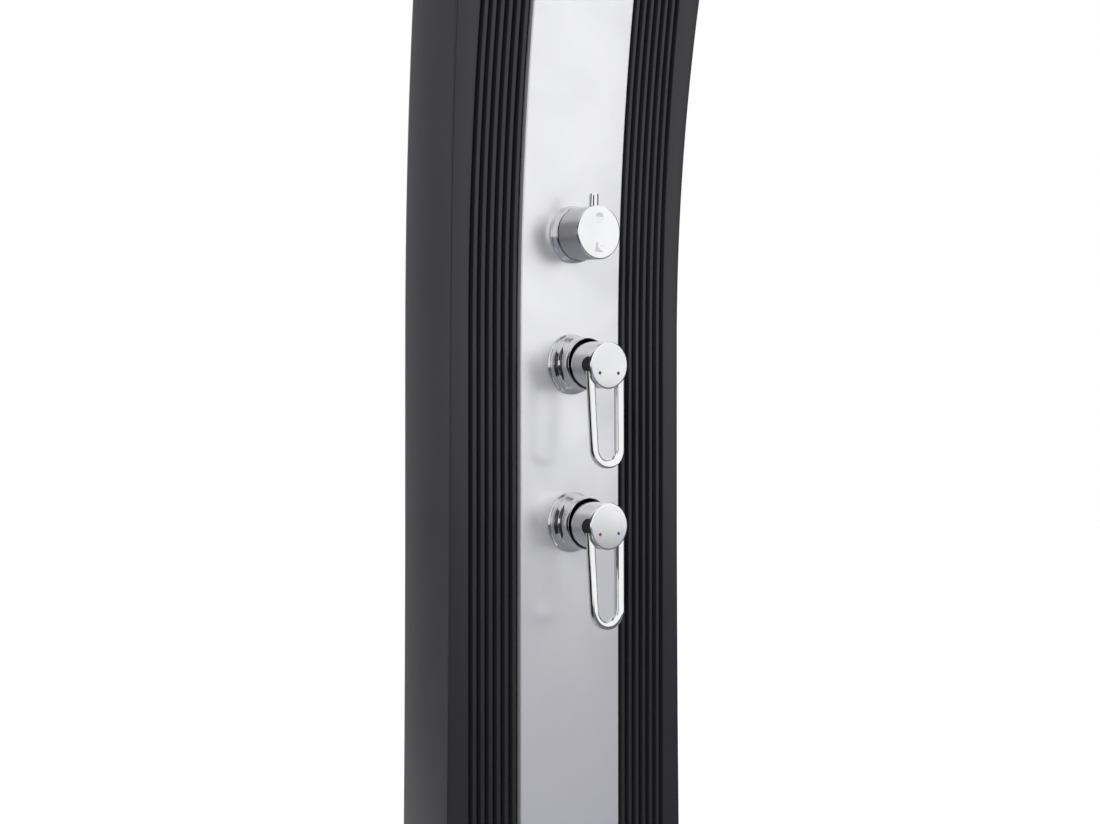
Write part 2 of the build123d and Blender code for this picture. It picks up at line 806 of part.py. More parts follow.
def lever_mixer(name, along, outlet):
    """Single-lever mixer: fixed valve and rosette, swinging yoke and lifting lever."""
    face = outward(along)
    side_reach = riser_x - pipe_radius - butt_gap
    sides = [((-1, 0), side_reach), ((1, 0), side_reach)]
    neck_height = 10
    cartridge_floor = -32
    body = valve_body(
        along,
        mixer_neck_radius,
        neck_height,
        cartridge_radius,
        cartridge_floor,
        sides + [((0, outlet), port_reach)],
    )
    save(body, f"{name}_body")

    yoke_floor = 8
    cartridge_top = 26
    cartridge = turned(
        face,
        [
            (0, cartridge_floor),
            (cartridge_radius, cartridge_floor),
            (cartridge_radius, 22),
            (14, 22.9),
            (14, cartridge_top),
            (yoke_radius + running_gap, cartridge_top),
            (yoke_radius + running_gap, yoke_floor - 0.1),
            (0, yoke_floor - 0.1),
        ],
    )
    save(cartridge, f"{name}_cartridge")

    rosette = turned(
        face,
        [
            (rosette_bore, 0),
            (rosette_radius, 0),
            (rosette_radius, 1.6),
            (26.0, 2.6),
            (24.9, 9.0),
            (24.3, 9.4),
            (24.4, 10.0),
            (23.9, 14.0),
            (23.4, 14.4),
            (23.5, 15.0),
            (22.9, rosette_height),
            (rosette_bore, rosette_height),
        ],
    )
    save(rosette, f"{name}_rosette")

    slot_half = stem_size[0] / 2 + 0.1
    yoke_top = 32
    with BuildPart() as yoke:
        with BuildSketch(face.offset(yoke_floor)):
            Circle(yoke_radius)
        extrude(amount=yoke_top - yoke_floor)
        with BuildSketch(face.offset(yoke_floor + 3)):
            Rectangle(2 * slot_half, 3 * yoke_radius)
        extrude(amount=yoke_top, mode=Mode.SUBTRACT)
        pivot = Plane(face.from_local_coords((-slot_half - 1, 0, lever_pivot)), z_dir=(1, 0, 0))
        with BuildSketch(pivot):
            Circle(pivot_pin_radius)
        extrude(amount=2 * slot_half + 2)
    save(yoke, f"{name}_yoke")

    stem_bottom = 14
    with BuildPart() as stem:
        with BuildSketch(face.offset(stem_bottom)):
            Rectangle(*stem_size)
        extrude(amount=lever_plate_back - stem_bottom)
        cross = Plane(face.from_local_coords((-stem_size[0], 0, lever_pivot)), z_dir=(1, 0, 0))
        with BuildSketch(cross):
            Circle(pivot_pin_radius + running_gap)
        extrude(amount=2 * stem_size[0], mode=Mode.SUBTRACT)
    save(stem, f"{name}_stem")

    web_back = 40
    side_slot_radius = 7.5
    side_slot_height = 50.8
    side_slot_start = 12
    with BuildPart() as hub:
        with BuildSketch(face.offset(lever_back)):
            Circle(lever_radius)
        extrude(amount=cap_back - lever_back)
        with BuildSketch(face.offset(lever_back)):
            Circle(lever_radius - lever_wall)
        extrude(amount=web_back - lever_back, mode=Mode.SUBTRACT)
        with BuildSketch(face.offset(web_back)):
            Rectangle(*stem_size)
        extrude(amount=lever_plate_back - web_back, mode=Mode.SUBTRACT)
        with BuildSketch(face.offset(lever_plate_back)):
            add(loop_outline(0.3))
        extrude(amount=cap_back - lever_plate_back, mode=Mode.SUBTRACT)
        for side in (-1, 1):
            centre = face.from_local_coords((side * side_slot_start, 0, side_slot_height))
            with BuildSketch(Plane(centre, z_dir=(side, 0, 0))):
                Circle(side_slot_radius)
            extrude(amount=lever_radius, mode=Mode.SUBTRACT)
    save(hub, f"{name}_hub")

    opening_top = -14
    boss_radius = 2.4
    with BuildPart() as loop:
        with BuildSketch(face.offset(lever_plate_back)):
            add(loop_outline(0))
            end_half = loop_end_half_width - loop_bar
            end_y = -loop_reach + loop_end_half_width
            top_half = loop_top_half_width - loop_bar - 0.5
            with BuildLine():
                Polyline(
                    (-end_half, end_y),
                    (-top_half, opening_top),
                    (top_half, opening_top),
                    (end_half, end_y),
                )
                ThreePointArc((end_half, end_y), (0, end_y - end_half), (-end_half, end_y))
            make_face(mode=Mode.SUBTRACT)
            Circle(boss_radius, mode=Mode.SUBTRACT)
        extrude(amount=cap_back - lever_plate_back)
    save(loop, f"{name}_loop")

    with BuildPart() as cap:
        with BuildSketch(face.offset(cap_back)):
            Circle(lever_radius)
        extrude(amount=cap_front - cap_back)
        fillet(cap.faces().sort_by(Axis(face.origin, face.z_dir))[-1].edges(), 0.6)
        with BuildSketch(face.offset(cap_back)):
            Circle(boss_radius)
        extrude(amount=-4)
    save(cap, f"{name}_cap")


lever_mixer("upper_mixer", upper_mixer_along, 1)
lever_mixer("lower_mixer", lower_mixer_along, -1)

# Nuts that clamp the fascia between both mixers' rosettes and valve bodies
clamp_profile = [
    (mixer_neck_radius, 0),
    (rosette_bore, 0),
    (rosette_bore, 6),
    (mixer_neck_radius, 6),
]
with BuildPart() as mixer_nuts:
    for along in (upper_mixer_along, lower_mixer_along):
        add(turned(outward(along), clamp_profile).part)
save(mixer_nuts, "mixer_nuts")

# Diverter: a turning knob that sends the water to the rose or to the foot spout
diverter_face = outward(diverter_along)
diverter_neck = 15
diverter_neck_height = 7
diverter_cartridge_radius = 12
diverter_floor = -32
diverter_body = valve_body(
    diverter_along,
    diverter_neck,
    diverter_neck_height,
    diverter_cartridge_radius,
    diverter_floor,
    [((0, 1), port_reach), ((0, -1), port_reach)],
)
save(diverter_body, "diverter_body")

spindle_bottom = -8
spindle_top = 35
diverter_cartridge = turned(
    diverter_face,
    [
        (0, diverter_floor),
        (diverter_cartridge_radius, diverter_floor),
        (diverter_cartridge_radius, diverter_neck_height + 4),
        (spindle_radius + running_gap, diverter_neck_height + 4),
        (spindle_radius + running_gap, spindle_bottom - 0.2),
        (0, spindle_bottom - 0.2),
    ],
)
save(diverter_cartridge, "diverter_cartridge")

flange_radius = 25.5
flange_height = 9
diverter_nut_radius = 19.5
diverter_nut = turned(
    diverter_face,
    [
        (diverter_neck, curve_gap),
        (diverter_nut_radius, curve_gap),
        (diverter_nut_radius, 5),
        (diverter_neck, 5),
    ],
)
save(diverter_nut, "diverter_nut")

diverter_flange = turned(
    diverter_face,
    [
        (diverter_nut_radius, curve_gap),
        (flange_radius, curve_gap),
        (flange_radius, 2.5),
        (24.9, 3.2),
        (24.6, flange_height - 0.5),
        (24.1, flange_height),
        (21.5, flange_height),
        (21.5, 4),
        (diverter_nut_radius, 4),
    ],
)
save(diverter_flange, "diverter_flange")

with BuildPart() as diverter_spindle:
    with BuildSketch(diverter_face.offset(spindle_bottom)):
        Circle(spindle_radius)
    extrude(amount=spindle_top - spindle_bottom)
save(diverter_spindle, "diverter_spindle")

knob_cap_thickness = 2
knob_web_back = 31
pin_height = 29
pin_foot_reach = 18
with BuildPart() as diverter_knob:
    with BuildSketch(diverter_face.offset(knob_back)):
        Circle(knob_radius)
    extrude(amount=knob_front - knob_cap_thickness - knob_back)
    with BuildSketch(diverter_face.offset(knob_back)):
        Circle(knob_radius - knob_wall)
    extrude(amount=knob_web_back - knob_back, mode=Mode.SUBTRACT)
    with BuildSketch(diverter_face.offset(knob_web_back)):
        Circle(spindle_radius)
    extrude(amount=spindle_top - knob_web_back, mode=Mode.SUBTRACT)
    pin_foot = diverter_face.from_local_coords((0, pin_foot_reach, pin_height))
    pin_plane = Plane(pin_foot, z_dir=diverter_face.y_dir)
    with BuildSketch(pin_plane):
        Circle(knob_pin_radius)
    extrude(amount=knob_pin_reach - pin_foot_reach, mode=Mode.SUBTRACT)
save(diverter_knob, "diverter_knob")

with BuildPart() as diverter_pin:
    with BuildSketch(pin_plane):
        Circle(knob_pin_radius)
    extrude(amount=knob_pin_reach - pin_foot_reach)
    chamfer(diverter_pin.faces().sort_by(Axis.Z)[-1].edges(), 0.6)
save(diverter_pin, "diverter_pin")

with BuildPart() as diverter_cap:
    with BuildSketch(diverter_face.offset(knob_front - knob_cap_thickness)):
        Circle(knob_radius)
    extrude(amount=knob_cap_thickness)
    cap_face = diverter_cap.faces().sort_by(Axis(diverter_face.origin, diverter_face.z_dir))[-1]
    fillet(cap_face.edges(), 0.6)
save(diverter_cap, "diverter_cap")

# Rosettes of the two low outlets and of the shower arm
rosette_profile = [
    (outlet_radius, curve_gap),
    (rosette_radius, curve_gap),
    (rosette_radius, 2),
    (25, 4.5),
    (14, 8),
    (outlet_radius, 8),
]
with BuildPart() as wall_rosettes:
    for along in (hose_outlet_along, foot_spout_along, arm_along):
        add(turned(outward(along), rosette_profile).part)
save(wall_rosettes, "wall_rosettes")

# Hand-shower outlet: out of the fascia and down to a half-inch male thread
hose_face = outward(hose_outlet_along)
outlet_reach = 30
elbow_block = 13
outlet_foot = -33
drop_length = 20
outlet_nut_height = 7
outlet_thread_length = 13
drop_top = hose_face.from_local_coords((0, 0, outlet_reach))
drop_plane = Plane(drop_top, x_dir=(1, 0, 0), z_dir=(0, 0, -1))
hose_port = Plane(place(hose_outlet_along, riser_depth), x_dir=(1, 0, 0), z_dir=(0, 0, 1))
with BuildPart() as hose_outlet:
    with BuildSketch(hose_face.offset(outlet_foot)):
        Circle(outlet_radius)
    extrude(amount=outlet_reach + elbow_block - outlet_foot)
    with BuildSketch(drop_plane):
        Circle(outlet_radius)
    extrude(amount=drop_length)
    with BuildSketch(drop_plane.offset(drop_length)):
        RegularPolygon(13, 6)
    extrude(amount=outlet_nut_height)
    with BuildSketch(drop_plane.offset(drop_length + outlet_nut_height)):
        Circle(half_inch_thread_radius)
    extrude(amount=outlet_thread_length)
    with BuildSketch(hose_port):
        Circle(port_radius)
    extrude(amount=port_reach)
    with BuildSketch(hose_port):
        Circle(pipe_bore)
    extrude(amount=port_reach, mode=Mode.SUBTRACT)
    with BuildSketch(hose_face.offset(outlet_foot + 4)):
        Circle(pipe_bore)
    extrude(amount=outlet_reach - outlet_foot - 4, mode=Mode.SUBTRACT)
    with BuildSketch(drop_plane):
        Circle(pipe_bore)
    extrude(amount=drop_length + outlet_nut_height + outlet_thread_length, mode=Mode.SUBTRACT)
save(hose_outlet, "hose_outlet")

# Foot spout: a bent tube with an aerator at its mouth
spout_face = outward(foot_spout_along)
spout_reach = 62
spout_bend = 26
spout_drop = 34
with BuildLine() as spout_path:
    FilletPolyline(
        spout_face.from_local_coords((0, 0, outlet_back)),
        spout_face.from_local_coords((0, 0, spout_reach)),
        spout_face.from_local_coords((0, -spout_drop, spout_reach)),
        radius=spout_bend,
    )
foot_spout = pipe(spout_face.offset(outlet_back), spout_path.line, outlet_radius, slim_pipe_radius)
save(foot_spout, "foot_spout")

mouth = Plane(
    spout_face.from_local_coords((0, -spout_drop, spout_reach)), x_dir=(1, 0, 0), z_dir=(0, 0, -1)
)
foot_aerator = turned(
    mouth, [(4, 0), (outlet_radius, 0), (outlet_radius + 1, 1), (outlet_radius + 1, 9), (8, 10), (4, 10)]
)
save(foot_aerator, "foot_aerator")

# Shower arm, its elbow in the channel and the ball that carries the rose
elbow_radius = 14
arm_face = outward(arm_along)
arm_corner = arm_face.from_local_coords((0, 0, arm_reach))
arm_end = arm_corner + Vector(0, 0, -arm_drop)
arm_start = -fascia_thickness - 2
with BuildPart() as arm_elbow:
    with BuildSketch(arm_face.offset(valve_back)):
        Circle(elbow_radius)
    extrude(amount=arm_start - valve_back)
    port_plane = Plane(place(arm_along, riser_depth), z_dir=-arm_face.y_dir)
    with BuildSketch(port_plane):
        Circle(port_radius)
    extrude(amount=port_reach - 0.4)
    with BuildSketch(port_plane):
        Circle(pipe_bore)
    extrude(amount=port_reach - 0.4, mode=Mode.SUBTRACT)
    with BuildSketch(arm_face.offset(arm_start)):
        Circle(pipe_bore)
    extrude(amount=valve_back - arm_start + 8, mode=Mode.SUBTRACT)
save(arm_elbow, "arm_elbow")

with BuildLine() as arm_path:
    FilletPolyline(
        arm_face.from_local_coords((0, 0, arm_start)), arm_corner, arm_end, radius=arm_bend_radius
    )
shower_arm = pipe(arm_face.offset(arm_start), arm_path.line, outlet_radius, outlet_bore)
save(shower_arm, "shower_arm")

ball_centre = arm_end + Vector(0, 0, -ball_neck_length)
below_ball = Plane(ball_centre, x_dir=(1, 0, 0), z_dir=(0, 0, -1))
neck_collar_height = 8
with BuildPart() as arm_ball:
    with BuildSketch(below_ball):
        Circle(ball_neck_radius)
    extrude(amount=-ball_neck_length)
    with BuildSketch(below_ball.offset(-ball_neck_length)):
        Circle(outlet_radius)
    extrude(amount=neck_collar_height)
    with Locations(ball_centre):
        Sphere(ball_radius)
    with BuildSketch(below_ball.offset(ball_radius + 1)):
        Circle(slim_pipe_bore)
    extrude(amount=-ball_neck_length - ball_radius - 2, mode=Mode.SUBTRACT)
save(arm_ball, "arm_ball")

# Seal ring that turns on the ball, between it and the rose's socket
seal_half_height = 4
seal_gap = 0.3
with BuildPart() as ball_seal:
    with BuildSketch(below_ball.offset(-seal_half_height)):
        Circle(seal_radius + 1)
    extrude(amount=2 * seal_half_height)
    with Locations(ball_centre):
        Sphere(seal_radius, mode=Mode.INTERSECT)
        Sphere(ball_radius + seal_gap, mode=Mode.SUBTRACT)
save(ball_seal, "ball_seal")

# Socket nut round the ball, open at the top for the neck to tilt in
nut_radius = 19
nut_top = -9.6
nut_bottom = 8
with BuildPart() as rose_nut:
    with BuildSketch(below_ball.offset(nut_top)):
        RegularPolygon(nut_radius, 12)
    extrude(amount=nut_bottom - nut_top)
    with Locations(ball_centre):
        Sphere(seal_radius + seal_gap, mode=Mode.SUBTRACT)
save(rose_nut, "rose_nut")

# Rose: a shallow dished shell, a face plate and rings of soft nozzles
shell_wall = 2.5
rim_depth = 7
rim_back = rose_depth - rim_depth
rose_shell = turned(
    below_ball,
    [
        (10, 15),
        (10, nut_bottom),
        (16, nut_bottom),
        (16, 13),
        (24, 17),
        (rose_radius - 3, rim_back),
        (rose_radius, rim_back + 3),
        (rose_radius, rose_depth + face_plate_thickness),
        (rose_radius - shell_wall, rose_depth + face_plate_thickness),
        (rose_radius - shell_wall, rim_back + 3.5),
        (24, 20),
        (16, 17),
    ],
)
save(rose_shell, "rose_shell")

nozzle_radius = 1.6
nozzle_places = [
    (ring * cos(2 * pi * step / count), ring * sin(2 * pi * step / count))
    for count, ring in nozzle_rings
    for step in range(count)
]
with BuildPart() as rose_face_plate:
    with BuildSketch(below_ball.offset(rose_depth)):
        Circle(rose_radius - shell_wall)
        with Locations(*nozzle_places):
            Circle(nozzle_radius, mode=Mode.SUBTRACT)
    extrude(amount=face_plate_thickness)
save(rose_face_plate, "rose_face_plate")

nozzle_reach = 3
with BuildPart() as rose_nozzles:
    with BuildSketch(below_ball.offset(rose_depth)):
        with Locations(*nozzle_places):
            Circle(nozzle_radius)
    extrude(amount=face_plate_thickness + nozzle_reach, taper=6)
save(rose_nozzles, "rose_nozzles")
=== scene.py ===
import json
from math import atan2, cos, hypot, pi, radians, sin, tan

import bmesh
import bpy
from mathutils import Matrix, Vector


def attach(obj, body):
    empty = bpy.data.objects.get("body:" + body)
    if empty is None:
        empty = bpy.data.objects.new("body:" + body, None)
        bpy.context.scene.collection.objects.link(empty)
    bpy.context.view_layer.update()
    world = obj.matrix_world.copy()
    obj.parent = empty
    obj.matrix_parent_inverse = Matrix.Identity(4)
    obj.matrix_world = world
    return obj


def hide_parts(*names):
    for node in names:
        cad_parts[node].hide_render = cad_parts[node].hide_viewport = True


# Solar shower, drawn over its CAD nodes; sizes are in millimetres unless a note says otherwise
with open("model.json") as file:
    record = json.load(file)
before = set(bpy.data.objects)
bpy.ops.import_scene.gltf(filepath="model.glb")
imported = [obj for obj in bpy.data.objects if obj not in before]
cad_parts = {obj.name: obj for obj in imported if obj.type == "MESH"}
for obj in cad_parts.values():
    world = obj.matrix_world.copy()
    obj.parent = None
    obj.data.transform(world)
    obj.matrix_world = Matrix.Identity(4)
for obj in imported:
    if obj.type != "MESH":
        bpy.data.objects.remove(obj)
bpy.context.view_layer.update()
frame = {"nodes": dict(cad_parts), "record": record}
scene = bpy.context.scene
scene.view_settings.view_transform = "Standard"
mm = 0.001

# The column runs straight up, then bends forward; these match the CAD part
column = {
    "frontY": -20,
    "bendStart": 1137,
    "bendRadius": 2165,
    "archLength": 1030,
    "bottom": 70,
    "crownDepth": 106,
    "crownRadius": 285,
    "waistHalf": 128,
    "waistHeight": 1030,
    "footRadius": 25800,
    "hoodHeight": 1000,
    "hoodWiden": 32,
    "stripHalf": 55,
    "stripProud": 1,
}
controls = {"diverter": 95, "upperMixer": -21, "lowerMixer": -162}
outlets = {"hose": -537, "foot": -717, "arm": 975}


# Places on the column
def placeAt(along, depth=0.0, x=0.0):
    turn = max(along, 0) / column["bendRadius"]
    reach = column["bendRadius"] + depth
    y = column["frontY"] - column["bendRadius"] + reach * cos(turn)
    z = column["bendStart"] + min(along, 0) + reach * sin(turn)
    return Vector((x, y, z)) * mm


def faceMatrix(along):
    # x to the right, y up the strip, z straight out of it, starting on the strip's surface
    turn = max(along, 0) / column["bendRadius"]
    out = Vector((0, -cos(turn), -sin(turn)))
    up = Vector((0, -sin(turn), cos(turn)))
    turned = Matrix((Vector((1, 0, 0)), up, out)).transposed().to_4x4()
    return Matrix.Translation(placeAt(along, -column["stripProud"])) @ turned


def acrossMatrix(along):
    # x to the right, y into the depth, z along the column
    turn = max(along, 0) / column["bendRadius"]
    deep = Vector((0, cos(turn), sin(turn)))
    up = Vector((0, -sin(turn), cos(turn)))
    turned = Matrix((Vector((1, 0, 0)), deep, up)).transposed().to_4x4()
    return Matrix.Translation(placeAt(along)) @ turned


def stepOut(distance, radius):
    return radius - (radius**2 - distance**2) ** 0.5


def halfWidth(height):
    middle = column["hoodHeight"] / 2
    widen = column["hoodWiden"]
    radius = (middle**2 + (widen / 2) ** 2) / widen
    above = min(height - column["bendStart"], column["hoodHeight"])
    if height < column["waistHeight"]:
        return column["waistHalf"] + stepOut(column["waistHeight"] - height, column["footRadius"])
    if above < 0:
        return column["waistHalf"]
    if above < middle:
        return column["waistHalf"] + stepOut(above, radius)
    return column["waistHalf"] + widen - stepOut(column["hoodHeight"] - above, radius)


# Small helpers for modelling in edit mode
def onlySelect(piece):
    bpy.ops.object.select_all(action="DESELECT")
    piece.select_set(True)
    bpy.context.view_layer.objects.active = piece


def editOn(piece):
    onlySelect(piece)
    bpy.ops.object.mode_set(mode="EDIT")
    bpy.ops.mesh.select_mode(type="VERT")


def pick(piece, kind, test):
    mesh = bmesh.from_edit_mesh(piece.data)
    bpy.ops.mesh.select_mode(type=kind)
    bpy.ops.mesh.select_all(action="DESELECT")
    mesh.faces.ensure_lookup_table()
    items = {"VERT": mesh.verts, "EDGE": mesh.edges, "FACE": mesh.faces}[kind]
    for item in items:
        if test(item):
            item.select_set(True)
    mesh.select_flush_mode()
    bmesh.update_edit_mesh(piece.data)


def middleOf(item):
    return sum((corner.co for corner in item.verts), Vector()) / len(item.verts)


def extrudeBy(offset):
    bpy.ops.mesh.extrude_region_move(TRANSFORM_OT_translate={"value": offset})


towardsBack, acrossFront = (pi / 2, 0, 0), (0, pi / 2, 0)


def addRod(radius, long, place, steps, turned=(0, 0, 0)):
    # a plain cylinder, to cut with or to shape further
    bpy.ops.object.select_all(action="DESELECT")
    bpy.ops.mesh.primitive_cylinder_add(
        vertices=steps,
        radius=radius * mm,
        depth=long * mm,
        location=[value * mm for value in place],
        rotation=turned,
    )
    return bpy.context.object


def drawChain(name, points, closed=True, filled=True):
    # one vertex is moved to the first point and extruded from point to point
    bpy.ops.object.select_all(action="DESELECT")
    bpy.ops.mesh.primitive_plane_add(size=mm)
    piece = bpy.context.object
    piece.name = piece.data.name = name
    bpy.ops.object.mode_set(mode="EDIT")
    bpy.ops.mesh.select_mode(type="VERT")
    bpy.ops.mesh.select_all(action="SELECT")
    bpy.ops.mesh.merge(type="CENTER")
    path = [Vector(point) * mm for point in points]
    bpy.ops.transform.translate(value=path[0])
    for before, after in zip(path, path[1:]):
        extrudeBy(after - before)
    if closed:
        mesh = bmesh.from_edit_mesh(piece.data)
        mesh.verts.ensure_lookup_table()
        bpy.ops.mesh.select_all(action="DESELECT")
        mesh.verts[0].select_set(True)
        mesh.verts[len(path) - 1].select_set(True)
        bmesh.update_edit_mesh(piece.data)
        bpy.ops.mesh.edge_face_add()
    if filled:
        bpy.ops.mesh.select_all(action="SELECT")
        bpy.ops.mesh.edge_face_add()
    return piece


def cleanMesh():
    # in edit mode: doubles merged, faces turned outwards
    bpy.ops.mesh.select_all(action="SELECT")
    bpy.ops.mesh.remove_doubles(threshold=0.00001)
    bpy.ops.mesh.normals_make_consistent(inside=False)
    bpy.ops.object.mode_set(mode="OBJECT")


def spinProfile(name, points, steps, closed=True):
    # a profile of radius and height is spun about z; an open one starts and ends on the axis
    piece = drawChain(name, [(r, 0, h) for r, h in points], closed, filled=False)
    bpy.ops.mesh.select_all(action="SELECT")
    bpy.ops.mesh.spin(steps=steps, angle=2 * pi, center=(0, 0, 0), axis=(0, 0, 1))
    cleanMesh()
    return piece


def removePiece(piece):
    bpy.data.objects.remove(piece)


def applyModifier(piece, kind, **values):
    onlySelect(piece)
    modifier = piece.modifiers.new(kind.title(), kind)
    for key, value in values.items():
        setattr(modifier, key, value)
    bpy.ops.object.modifier_apply(modifier=modifier.name)


def cutWith(piece, cutter, operation="DIFFERENCE"):
    applyModifier(piece, "BOOLEAN", operation=operation, object=cutter, solver="EXACT")
    removePiece(cutter)


def copyOf(piece, name):
    onlySelect(piece)
    bpy.ops.object.duplicate(linked=False)
    double = bpy.context.object
    double.name = double.data.name = name
    return double


def setDown(piece, matrix):
    # the place goes into the mesh, so that the object itself stays at the origin
    onlySelect(piece)
    piece.matrix_world = matrix @ piece.matrix_world
    bpy.ops.object.transform_apply(location=True, rotation=True, scale=True)


def paintBoreShade(piece, radius, finish):
    # faces that look inwards at a bore get a second, near-black material: painted shade for the gap
    # round what sits in the bore
    piece.data.materials.append(finish)
    for face in piece.data.polygons:
        reach = hypot(face.center.x, face.center.y) / mm
        inward = face.normal.x * face.center.x + face.normal.y * face.center.y < 0
        if inward and reach < radius:
            face.material_index = 1


def finishPiece(piece, body, slotName, material, *stoodFor, smooth=32):
    onlySelect(piece)
    bpy.ops.object.transform_apply(location=True, rotation=True, scale=True)
    bpy.ops.object.shade_smooth_by_angle(angle=radians(smooth))
    if piece.data.materials:
        piece.data.materials[0] = material
    else:
        piece.data.materials.append(material)
    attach(piece, body)
    if stoodFor:
        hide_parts(*stoodFor)


# Effects shared by the materials
def newGroup(name, inputs, outputs):
    group = bpy.data.node_groups.new(name, "ShaderNodeTree")
    for label, kind, value in inputs:
        socket = group.interface.new_socket(label, in_out="INPUT", socket_type=kind)
        socket.default_value = value
    for label, kind in outputs:
        group.interface.new_socket(label, in_out="OUTPUT", socket_type=kind)
    start = group.nodes.new("NodeGroupInput")
    end = group.nodes.new("NodeGroupOutput")
    return group, group.nodes, group.links, start, end


def mixColor(nodes):
    node = nodes.new("ShaderNodeMix")
    node.data_type = "RGBA"
    return node


def spread(nodes, low, high, outLow, outHigh):
    node = nodes.new("ShaderNodeMapRange")
    node.inputs["From Min"].default_value = low
    node.inputs["From Max"].default_value = high
    node.inputs["To Min"].default_value = outLow
    node.inputs["To Max"].default_value = outHigh
    return node


color, number, vector = "NodeSocketColor", "NodeSocketFloat", "NodeSocketVector"


def buildMouldedGrain():
    # fine pitted skin of moulded plastic or rubber, with slow changes of tone
    group, nodes, links, start, end = newGroup(
        "mouldedGrain",
        [
            ("Tone", color, (0.05, 0.05, 0.06, 1)),
            ("Pit Size", number, 900.0),
            ("Pit Depth", number, 0.15),
            ("Tone Drift", number, 0.12),
            ("Gloss Low", number, 0.38),
            ("Gloss High", number, 0.5),
        ],
        [("Color", color), ("Roughness", number), ("Normal", vector)],
    )
    place = nodes.new("ShaderNodeTexCoord")
    pits = nodes.new("ShaderNodeTexNoise")
    pits.inputs["Detail"].default_value = 3
    links.new(place.outputs["Object"], pits.inputs["Vector"])
    links.new(start.outputs["Pit Size"], pits.inputs["Scale"])
    bump = nodes.new("ShaderNodeBump")
    bump.inputs["Distance"].default_value = 0.0002
    links.new(start.outputs["Pit Depth"], bump.inputs["Strength"])
    links.new(pits.outputs["Fac"], bump.inputs["Height"])
    links.new(bump.outputs["Normal"], end.inputs["Normal"])
    drift = nodes.new("ShaderNodeTexNoise")
    drift.inputs["Scale"].default_value = 7
    drift.inputs["Detail"].default_value = 5
    links.new(place.outputs["Object"], drift.inputs["Vector"])
    amount = nodes.new("ShaderNodeMath")
    amount.operation = "MULTIPLY"
    links.new(drift.outputs["Fac"], amount.inputs[0])
    links.new(start.outputs["Tone Drift"], amount.inputs[1])
    tone = mixColor(nodes)
    links.new(amount.outputs[0], tone.inputs["Factor"])
    links.new(start.outputs["Tone"], tone.inputs["A"])
    tone.inputs["B"].default_value = (0.35, 0.35, 0.37, 1)
    links.new(tone.outputs["Result"], end.inputs["Color"])
    gloss = nodes.new("ShaderNodeMix")
    links.new(drift.outputs["Fac"], gloss.inputs["Factor"])
    links.new(start.outputs["Gloss Low"], gloss.inputs["A"])
    links.new(start.outputs["Gloss High"], gloss.inputs["B"])
    links.new(gloss.outputs["Result"], end.inputs["Roughness"])
    return group


def buildDrawnMetal():
    # long faint draw lines and smudges on metal; the lines run along the piece's z
    group, nodes, links, start, end = newGroup(
        "drawnMetal",
        [
            ("Tone", color, (0.8, 0.8, 0.8, 1)),
            ("Shade", color, (0.6, 0.6, 0.6, 1)),
            ("Line Scale", number, 700.0),
            ("Line Depth", number, 0.05),
            ("Gloss Low", number, 0.1),
            ("Gloss High", number, 0.2),
        ],
        [("Color", color), ("Roughness", number), ("Normal", vector)],
    )
    place = nodes.new("ShaderNodeTexCoord")
    stretch = nodes.new("ShaderNodeMapping")
    stretch.inputs["Scale"].default_value = (1, 1, 0.01)
    links.new(place.outputs["Object"], stretch.inputs["Vector"])
    lines = nodes.new("ShaderNodeTexNoise")
    lines.inputs["Detail"].default_value = 4
    links.new(stretch.outputs["Vector"], lines.inputs["Vector"])
    links.new(start.outputs["Line Scale"], lines.inputs["Scale"])
    bump = nodes.new("ShaderNodeBump")
    bump.inputs["Distance"].default_value = 0.0001
    links.new(start.outputs["Line Depth"], bump.inputs["Strength"])
    links.new(lines.outputs["Fac"], bump.inputs["Height"])
    links.new(bump.outputs["Normal"], end.inputs["Normal"])
    smudge = nodes.new("ShaderNodeTexNoise")
    smudge.inputs["Scale"].default_value = 16
    smudge.inputs["Detail"].default_value = 6
    smudge.inputs["Distortion"].default_value = 0.4
    links.new(place.outputs["Object"], smudge.inputs["Vector"])
    clouded = spread(nodes, 0.4, 0.75, 0, 1)
    links.new(smudge.outputs["Fac"], clouded.inputs["Value"])
    tone = mixColor(nodes)
    links.new(clouded.outputs["Result"], tone.inputs["Factor"])
    links.new(start.outputs["Tone"], tone.inputs["A"])
    links.new(start.outputs["Shade"], tone.inputs["B"])
    links.new(tone.outputs["Result"], end.inputs["Color"])
    gloss = nodes.new("ShaderNodeMix")
    links.new(clouded.outputs["Result"], gloss.inputs["Factor"])
    links.new(start.outputs["Gloss Low"], gloss.inputs["A"])
    links.new(start.outputs["Gloss High"], gloss.inputs["B"])
    links.new(gloss.outputs["Result"], end.inputs["Roughness"])
    return group


